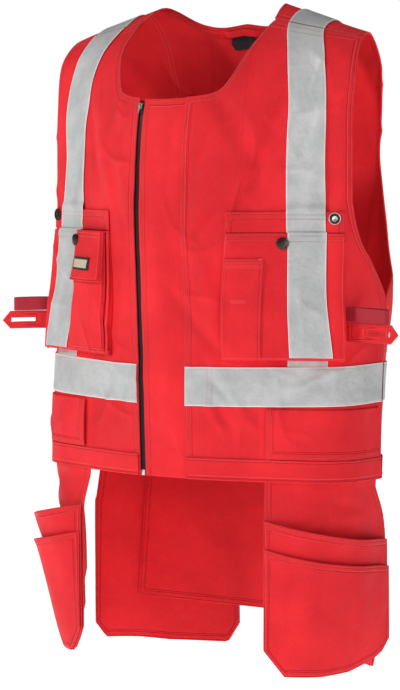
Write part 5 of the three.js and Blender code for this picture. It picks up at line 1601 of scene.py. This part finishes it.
# %% Turned discs
def seat(surface, girth, at, height):
    """A frame on the cloth, in metres: X across, Y up along the cloth, Z outwards."""
    follow = on_front if surface is FRONT else on_back
    g, t, h = (np.array([float(v)]) for v in (girth, at, height))
    here = follow(g, t, h)[0]
    outward = follow(g, t, h + 1)[0] - here
    down = follow(g, t + 0.004, h)[0] - here
    outward /= np.linalg.norm(outward)
    down -= outward * down.dot(outward)
    down /= np.linalg.norm(down)
    across = np.cross(-down, outward)
    matrix = Matrix.Identity(4)
    for k, axis in enumerate((across, -down, outward, here * 0.001)):
        for row in range(3):
            matrix[row][k] = float(axis[row])
    return matrix


def turned_disc(name, radius, height, cuts, bevel=0.15):
    """A disc in millimetres, its top face inset and raised or sunk by each (inset, rise)."""
    bpy.ops.object.select_all(action="DESELECT")
    bpy.ops.mesh.primitive_cylinder_add(vertices=40, radius=radius, depth=height,
                                        location=(0, 0, height / 2))
    disc = bpy.context.object
    disc.name = name
    keep_transform()
    top = [f.index for f in disc.data.polygons if f.normal.z > 0.9]
    bpy.ops.object.mode_set(mode="EDIT")
    bpy.ops.mesh.select_all(action="DESELECT")
    bpy.ops.object.mode_set(mode="OBJECT")
    disc.data.polygons[top[0]].select = True
    bpy.ops.object.mode_set(mode="EDIT")
    bpy.ops.mesh.select_mode(type="FACE")
    for inset, rise in cuts:
        bpy.ops.mesh.inset(thickness=inset, depth=0)
        if rise:
            bpy.ops.mesh.extrude_region_move(TRANSFORM_OT_translate={"value": (0, 0, rise)})
    bpy.ops.object.mode_set(mode="OBJECT")
    edge = disc.modifiers.new("rounding", "BEVEL")
    edge.width, edge.segments = bevel, 2
    bpy.ops.object.modifier_apply(modifier="rounding")
    return disc


def set_down(thing, matrix):
    """Puts a piece modelled in millimetres at its seat, with its place in its mesh."""
    thing.data.transform(matrix @ Matrix.Scale(0.001, 4))
    thing.matrix_world = Matrix.Identity(4)
    thing.data.update()


# %% Press studs and caps
DISC_RADIUS, CAP_BELOW = 8, 13
CAP_FROM = TAPE_FROM - DISC_RADIUS - 2
STUD_CUTS = [(0.3, 1.0), (0.9, -1.2), (3.3, 1.6), (0.9, -0.4)]
CAP_CUTS = [(0.5, 0.9), (1.1, 0.55), (1.9, 0.45), (2.2, 0.15), (0.8, -0.35)]


def cap_height(side):
    pocket = float(pocket_lift(CAP_FROM / POCKET_WIDTH, CAP_BELOW / POCKET_HEIGHT))
    if side > 0:
        return pocket + GAP + 0.5
    flap_share = float(flap_bulge((CAP_FROM - PHONE_FROM) / PHONE_WIDTH, CAP_BELOW / PHONE_FLAP))
    return pocket + flap_share + PATCH + 4 * GAP + 0.5


for side_name, side in SIDES:
    stud = turned_disc(f"press_stud_{side_name}", DISC_RADIUS, 1.3, STUD_CUTS)
    at = float(above_hem(FACING_TOP - 8))
    flat_faces = [(face.center.copy(), face.normal.copy()) for face in stud.data.polygons]
    set_down(stud, seat(FRONT, side * (float(pocket_girth(1, at)) - 13), at, FACING_LOW + 2.1))
    # Both studs are one part: the left has a nickel face, and the wearer's right is painted all bronze as a
    # darker, shaded copy seen from the side.
    finish_piece(stud, NICKEL if side > 0 else BRONZE, [f"stud_{side_name}"])
    stud.data.materials.append(BRONZE)
    for face, (middle, upwards) in zip(stud.data.polygons, flat_faces):
        reach = math.hypot(middle.x, middle.y)
        sunk = middle.z < 1.4 and upwards.z > 0.5 or 4.2 < reach < 6.2
        face.material_index = 1 if sunk or middle.z < 1.1 else 0
    cap = turned_disc(f"stud_cap_{side_name}", DISC_RADIUS, 1.0, CAP_CUTS, 0.3)
    at = float(above_hem(MOUTH - CAP_BELOW))
    set_down(cap, seat(FRONT, side * (float(pocket_girth(0, at)) + CAP_FROM), at, cap_height(side)))
    finish_piece(cap, BRONZE, [f"cap_{side_name}"])
    print(stud.name, len(stud.data.polygons), "faces;", cap.name, len(cap.data.polygons), "faces")


# %% Zip slider and pin box
def shaped_block(name, width, length, height, bevel, taper=1.0):
    """A rounded block, narrower at its lower end by the taper."""
    bpy.ops.object.select_all(action="DESELECT")
    bpy.ops.mesh.primitive_cube_add(size=1, location=(0, 0, height / 2), scale=(width, length, height))
    block = bpy.context.object
    block.name = name
    keep_transform()
    for vertex in block.data.vertices:
        if vertex.co.y < 0:
            vertex.co.x *= taper
    edit_all(block, bpy.ops.mesh.bevel, offset=bevel, segments=3, affect="EDGES")
    return block


def pull_tab():
    """A small flat tab with an eye at its top."""
    bpy.ops.object.select_all(action="DESELECT")
    bpy.ops.mesh.primitive_torus_add(major_radius=1.9, minor_radius=0.5, major_segments=20,
                                     minor_segments=8, location=(0, -1, 3.6))
    ring = bpy.context.object
    keep_transform()
    tab = shaped_block("zip_pull", 3.0, 7, 0.9, 0.3, 0.8)
    tab.location = (0, -6.2, 3.1)
    keep_transform()
    join_onto(tab, ring)
    return tab


slider_at = float(front_top(ZIP_SIDE)) + 10 / BODY_LENGTH
slider = shaped_block("zip_slider_body", 6.6, 8, 2.4, 0.7, 0.72)
bridge = shaped_block("zip_bridge", 2.2, 6.5, 1.6, 0.5)
bridge.location = (0, 0.6, 2.2)
keep_transform()
join_onto(slider, bridge)
join_onto(slider, pull_tab())
set_down(slider, seat(FRONT, -ZIP_SIDE, slider_at, 0.6))
finish_piece(slider, DULL_STEEL, ["zip_slider"])
pin_box = shaped_block("zip_pin_box", 5.6, 7.2, 3.2, 0.6)
set_down(pin_box, seat(FRONT, -ZIP_SIDE, float(above_hem(3.8)), -2.6))
finish_piece(pin_box, NICKEL, ["zip_box"])
print(slider.name, len(slider.data.polygons), "faces")

# %% [markdown]
# ## Side loops
# At the side of each chest pocket a loop of dark webbing stands over a tab of red cloth with a
# long slit for a clip. The webbing is a strip laid round a hairpin path, with a near-black sheet
# laid inside it as painted shade in the loop. The tab is a ring of cloth laid between its slit and
# its pointed outline.

# %% Where the loops are sewn
LOOP_TURN, LOOP_BEYOND = {-1: 0.42, 1: 0.08}, {-1: 4, 1: -2}
WEB_WIDTH, WEB_REACH, WEB_OPEN, TAB_HIGH, TAB_REACH = 18, 62, 9, 24, 78
WEB_TOP = MOUTH - 93
TAB_TOP = WEB_TOP - WEB_WIDTH - 1


def loop_frame(side, distance):
    """Root of a loop, and its directions outwards, sideways and up."""
    at = np.array([float(above_hem(distance))])
    girth = girth_of(FRONT, at, CORNER_MARK) + LOOP_BEYOND[side]
    root = on_front(side * girth, at, np.array([LOW - 0.1]))[0]
    turn = LOOP_TURN[side]
    out = np.array([side * math.cos(turn), -math.sin(turn), 0])
    sideways = np.array([side * math.sin(turn), math.cos(turn), 0])
    return root, out, sideways, np.array([0, 0, 1.0])


def spread(distance, half, opening):
    """How far the webbing stands from its middle line, distance millimetres from its root."""
    return half * soft_step(0, opening, distance) + 0.9 * (1 - soft_step(0, opening * 0.3, distance))


def hairpin(share):
    """Path of the webbing's middle: out along the front, round the end and back."""
    half, opening = WEB_OPEN / 2 + 1, WEB_REACH * 0.45
    straight = WEB_REACH - half - opening
    parts = [opening, straight, math.pi * half, straight, opening]
    marks = np.concatenate([[0], np.cumsum(parts)])
    d = np.asarray(share, float) * marks[-1]
    x = np.interp(d, marks[[0, 2]], [0, WEB_REACH - half])
    y = -spread(d, half, marks[1])
    turn = np.clip((d - marks[2]) / parts[2], 0, 1) * math.pi
    curved = (d > marks[2]) & (d < marks[3])
    x = np.where(curved, WEB_REACH - half + half * np.sin(turn), x)
    y = np.where(curved, -half * np.cos(turn), y)
    back = d >= marks[3]
    x = np.where(back, np.interp(d, marks[[3, 5]], [WEB_REACH - half, 0]), x)
    y = np.where(back, spread(marks[5] - d, half, marks[1]), y)
    return x, y


def webbing_cut(side):
    root, out, sideways, up = loop_frame(side, WEB_TOP - WEB_WIDTH / 2)

    def place(a, b, lift):
        x, y = hairpin(a)
        x2, y2 = hairpin(np.asarray(a) + 0.002)
        length = np.hypot(x2 - x, y2 - y) + 1e-9
        nx, ny = (y2 - y) / length, -(x2 - x) / length
        x, y = x + nx * lift, y + ny * lift
        sagging = -1.5 * (x / WEB_REACH) ** 2
        height = (0.5 - b) * WEB_WIDTH + sagging
        return root + x[..., None] * out + y[..., None] * sideways + height[..., None] * up

    return place


# %% The slit tab's outline
TAB_KNOTS = [0, 0.36, 0.43, 0.5, 0.86, 1.0]


def tab_outline(share, ring):
    """Point of the tab: share goes round it, ring from the slit (0) to the outer edge (1)."""
    half, slit = TAB_HIGH / 2, 2.8
    neck = TAB_REACH - half * 0.9
    outer = [(0, -half), (neck, -half), (TAB_REACH, 0), (neck, half), (0, half), (0, -half)]
    start, end = TAB_REACH - half - 34, TAB_REACH - half
    inner = [(start, -slit), (end, -slit), (end, 0), (end, slit), (start, slit), (start, -slit)]
    outer, inner = np.array(outer, float), np.array(inner, float)
    out, into = ([np.interp(share, TAB_KNOTS, line[:, k]) for k in (0, 1)] for line in (outer, inner))
    return [out[k] * ring + into[k] * (1 - ring) for k in (0, 1)]


def tab_cut(side):
    root, out, sideways, up = loop_frame(side, TAB_TOP - TAB_HIGH / 2)

    def place(a, b, lift):
        x, y = tab_outline(a, b)
        bowed = 1.8 * np.sin(np.pi * np.clip(x / TAB_REACH, 0, 1)) * (y / (TAB_HIGH / 2))
        return (root + x[..., None] * out + (bowed - lift)[..., None] * sideways
                + (y * side - 2.0 * (x / TAB_REACH) ** 2)[..., None] * up)

    return place


for side_name, side in SIDES:
    strap = lay_cloth(f"webbing_loop_{side_name}_strap", np.linspace(0, 0.995, 90), steps(WEB_WIDTH, 2),
                      webbing_cut(side), plain_height(1), 2)
    finish_piece(strap, WEBBING_CLOTH, [f"webbing_loop_{side_name}"])
    # A near-black sheet just inside the webbing is painted shade in the loop.
    loop_shade_sheet = lay_cloth(f"webbing_lining_{side_name}_strap", np.linspace(0.03, 0.965, 90),
                       steps(WEB_WIDTH - 1, 2), webbing_cut(side), plain_height(-1.02), 0.25)
    finish_piece(loop_shade_sheet, LOOP_SHADE_WEBBING)
    shares = np.unique(np.concatenate([np.linspace(0, 1, 81), TAB_KNOTS[1:5]]))
    tab = red_piece(f"tab_loop_{side_name}", shares, np.linspace(0, 1, 9), tab_cut(side), plain_height(1.2),
                    2.4, join=True, hems="tb")
    print(strap.name, "and", tab.name, "made")

# %% [markdown]
# ## Sewing it together
# Every hem has two rows of stitches in thread a shade lighter than the cloth. On the silver tape
# they are pale along its edges. Where other seams pass under the tape the thread is the same on
# both sides, painted rose on the wearer's right and dark red on the left as lit and shaded copies.

# %% Helpers for rows of stitches
def flat_length(piece, axis):
    """Millimetres across (0) or down (1) the middle of a flat piece."""
    size = pieces[piece]["size"][axis]
    return float(np.median(size[:, -1] - size[:, 0] if axis == 0 else size[-1] - size[0]))


def rows_across(piece, downs, start, end, *size):
    """A row of stitches at each share down a piece, from start to end across it."""
    return [stitch_row(piece, [(start, t), (end, t)], *size) for t in downs]


def rows_down(piece, acrosses, start, end, *size):
    return [stitch_row(piece, [(s, start), (s, end)], *size) for s in acrosses]


def sew_hems(stem, *edges):
    """Hem stitches in red along the named edges, or along every sewn edge of a piece."""
    rows = []
    for hems, insets in edges or ((None, (2.5, 8.0)),):
        rows += hem_rows(f"{stem}_cloth", hems, insets)
    sew(f"{stem}_stitches", rows, RED_THREAD)


# %% Stitches on the body
TACK = (1.3, 2.2, 0.9)
FLY_SHARE, FLY_GAP = 0.072, 0.022
for side_name, _ in SIDES:
    sew_hems(f"front_{side_name}")
fly_rows = rows_down("front_left_cloth", (FLY_SHARE, FLY_SHARE + FLY_GAP), 0.05, 0.985)
for t in (0.27, 0.78):
    fly_rows.append(stitch_row("front_left_cloth", [(0.02, t), (FLY_SHARE, t + 0.012)], *TACK))
sew("fly_stitches", fly_rows, DARK_THREAD)


def inside_of(cut):
    """The same place on the inner side of a piece, where a larger lift is further inside."""
    return lambda a, b, lift: cut(a, b, -lift)


pieces["back_inside"] = {"place": inside_of(back_cut), "outer": plain_height(0)}
pieces["facing_inside"] = {
    "place": inside_of(neck_facing_cut), "outer": plain_height(LAYER_GAP + FACING_STRIP),
}
sew("inner_seam_stitches", rows_down("back_inside", (-0.56, -0.535, 0.535, 0.56), 0.01, 0.97), ROSE_THREAD)
back_rows = rows_down("back_cloth", (-0.99, -0.968, 0.99, 0.968), 0.01, 0.99)
sew("back_stitches", back_rows + rows_across("back_cloth", (0.0045, 0.0145), -0.97, 0.97), RED_THREAD)
sew_hems("placket")
for band_name, start in (("right", 0.01), ("left", 0.01), ("back", -0.995)):
    band = f"waistband_{band_name}_cloth"
    downs = [inset / flat_length(band, 1) for inset in (2.0, 22.5)]
    sew(f"waistband_{band_name}_stitches", rows_across(band, downs, start, 0.995), RED_THREAD)
print("Body sewn")

# %% Stitches on the tapes
TAPE_STITCH, CROSS_STITCH = (2.9, 2.2, 0.85), (3.3, 2.4, 0.9)
for band_name, start in (("right", 0.004), ("left", 0.004), ("back", -0.997)):
    band = f"waist_tape_{band_name}_film"
    downs = [inset / flat_length(band, 1) for inset in (2.0, 48)]
    rows = rows_across(band, downs, start, 0.997, *TAPE_STITCH)
    sew(f"waist_tape_{band_name}_stitches", rows, PALE_THREAD)
for stem in ("front_tape", "back_tape", "pocket_tape"):
    for side_name, _ in SIDES:
        rows = rows_down(f"{stem}_{side_name}_film", (2.0 / 50, 48 / 50), 0.004, 0.996, *TAPE_STITCH)
        sew(f"{stem}_{side_name}_stitches", rows, PALE_THREAD)

# %% Seams that pass under the tapes
# One thread on both sides: rose on the wearer's right and dark red on the left are lit and shaded copies of
# it.
for side_name, crossing in (("right", ROSE_THREAD), ("left", DARK_THREAD)):
    tape = f"front_tape_{side_name}_film"
    length = float(np.median(pieces[tape]["size"][1][-1]))
    downs = [1 - 24.5 / length, 1 - 18.5 / length, 6 / length, 12 / length]
    rows = rows_across(tape, downs, 0.0, 1.0, *CROSS_STITCH)
    rows += rows_across(f"pocket_tape_{side_name}_film", (0.03, 0.075), 0.0, 1.0, *CROSS_STITCH)
    sew(f"tape_crossings_{side_name}", rows, crossing)
width = flat_length("waist_tape_left_film", 0)
rows = rows_down("waist_tape_left_film", (30 / width, 36.5 / width), 0.0, 1.0, *CROSS_STITCH)
rows += rows_down("waist_tape_right_film", (2.5 / width, 8 / width), 0.0, 1.0, *CROSS_STITCH)
sew("waist_tape_crossings", rows, ROSE_THREAD)
print("Tapes sewn")

# %% Stitches on pockets, pouches and tabs
SINGLE = (3,)
for side_name, _ in SIDES:
    sew_hems(f"pocket_facing_{side_name}")
for side_name, _ in SIDES:
    pocket = f"chest_pocket_{side_name}_cloth"
    rows = rows_across(pocket, (2.5 / POCKET_HEIGHT, 8.5 / POCKET_HEIGHT), 0.012, 0.988)
    rows += rows_down(pocket, (2.2 / POCKET_WIDTH, 1 - 2.2 / POCKET_WIDTH), 0.02, 0.985)
    rows += rows_across(pocket, (1 - 2.2 / POCKET_HEIGHT,), 0.02, 0.98)
    sew(f"chest_pocket_{side_name}_stitches", rows, RED_THREAD)
    sew_hems(f"hand_pocket_{side_name}", ("l", (2.5, 8.0)), ("b", (2.5,)))
    sew_hems(f"holster_{side_name}")
    sew_hems(f"inner_pouch_{side_name}", ("t", (2.5, 8.0)), ("lr", SINGLE))
    sew_hems(f"outer_pouch_{side_name}", ("t", (2.5, 8.0)), ("lrb", SINGLE))
    sew_hems(f"rear_pouch_{side_name}", (None, (4,)))
    sew_hems(f"rear_pocket_{side_name}", ("t", (2.5, 8.0)), ("lrb", SINGLE))
    tab = f"tab_loop_{side_name}_cloth"
    rows = [stitch_row(tab, [(k / 24, ring), ((k + 1) / 24, ring)])
            for k in range(24) for ring in (0.22, 0.8)]
    sew(f"tab_loop_{side_name}_stitches", rows, RED_THREAD)
round_the_tail = [(-0.965, 0.02), (-0.965, 0.97), (0.965, 0.97), (0.965, 0.02)]
sew("tail_flap_stitches", [stitch_row("tail_flap_cloth", round_the_tail)], RED_THREAD)
pen_rows = rows_across("pen_pocket_cloth", (0.02, 0.04, 0.07, 0.09), 0.05, 0.95)
pen_rows += rows_down("pen_pocket_cloth", (0.045, 0.955), 0.02, 0.99)
pen_rows += rows_across("pen_pocket_cloth", (0.425, 0.445), 0.22, 0.62, 2.2, 1.9)
pen_rows += rows_across("pen_pocket_cloth", (0.004,), 0.86, 0.97, 1.0, 2.2, 0.9)
sew("pen_pocket_stitches", pen_rows, RED_THREAD)
sew_hems("phone_pocket", ("lrb", SINGLE))
sew_hems("phone_flap", ("lrb", (4,)), ("t", (3, 8)))
facing_rows = rows_across("facing_inside", (0.25, 0.85), -0.41, 0.41, 2.6, 2.1, 0.9)
sew("neck_facing_stitches", facing_rows, DARK_THREAD)
print("Pockets sewn; meshes now", len(bpy.data.meshes))

# %% [markdown]
# ## The flat size of each piece of cloth
# The flat size of every sheet of cloth, tape and webbing is worked out along its own grid, and
# what each lies on is listed. The two tabs are rings, so their size is their reach and height. The
# zip's moulded parts and the metal aren't sheets.

# %% What each piece of cloth lies on
LIES_ON = {
    "placket_cloth": "front_left_cloth", "zip_tape_cloth": "front_right_cloth",
    "back_cloth": "front_left_cloth", "waistband_back_cloth": "back_cloth",
    "waist_tape_back_film": "back_cloth", "pen_pocket_cloth": "chest_pocket_left_cloth",
    "phone_pocket_cloth": "chest_pocket_right_cloth", "phone_flap_cloth": "phone_pocket_cloth",
    "flap_label_cloth": "phone_flap_cloth", "flap_label_middle": "flap_label_cloth",
    "tail_flap_cloth": "waistband_back_cloth", "neck_facing_cloth": "back_cloth",
    "hanger_loop_cloth": "neck_facing_cloth", "neck_label_cloth": "back_cloth",
}
ON_EACH_SIDE = {
    "front_{}_cloth": "back_cloth", "waistband_{}_cloth": "front_{}_cloth",
    "waist_tape_{}_film": "front_{}_cloth", "pocket_facing_{}_cloth": "front_{}_cloth",
    "chest_pocket_{}_cloth": "front_{}_cloth", "lower_tape_{}_film": "front_{}_cloth",
    "front_tape_{}_film": "front_{}_cloth", "hand_pocket_{}_cloth": "front_{}_cloth",
    "side_seam_{}_cloth": "front_{}_cloth", "shoulder_seam_{}_cloth": "front_{}_cloth",
    "pocket_tape_{}_film": "chest_pocket_{}_cloth", "back_tape_{}_film": "back_cloth",
    "holster_{}_cloth": "waistband_{}_cloth", "inner_pouch_{}_cloth": "holster_{}_cloth",
    "outer_pouch_{}_cloth": "inner_pouch_{}_cloth", "rear_pouch_{}_cloth": "waistband_back_cloth",
    "rear_pocket_{}_cloth": "rear_pouch_{}_cloth", "webbing_loop_{}_strap": "chest_pocket_{}_cloth",
    "tab_loop_{}_cloth": "chest_pocket_{}_cloth", "webbing_lining_{}_strap": "webbing_loop_{}_strap",
}
for side_name, _ in SIDES:
    for piece, under in ON_EACH_SIDE.items():
        LIES_ON[piece.format(side_name)] = under.format(side_name)
print(len(LIES_ON), "pieces lie on another")


def declare_cloth(name):
    """Works out a sheet's flat width and height in metres, the height at least 10 mm, and keeps neither."""
    entry, stem = pieces[name], name.rsplit("_", 1)[0]
    u, v = entry["size"]
    wide, high = float((u[:, -1] - u[:, 0]).max()) / 1000, float((v[-1] - v[0]).max()) / 1000
    if stem.startswith("tab_loop"):
        wide, high = TAB_REACH / 1000, TAB_HIGH / 1000
    wide, high = round(wide, 4), round(max(0.01, high), 4)


for name, under in LIES_ON.items():
    declare_cloth(name)
print(len(LIES_ON), "sheets declared")
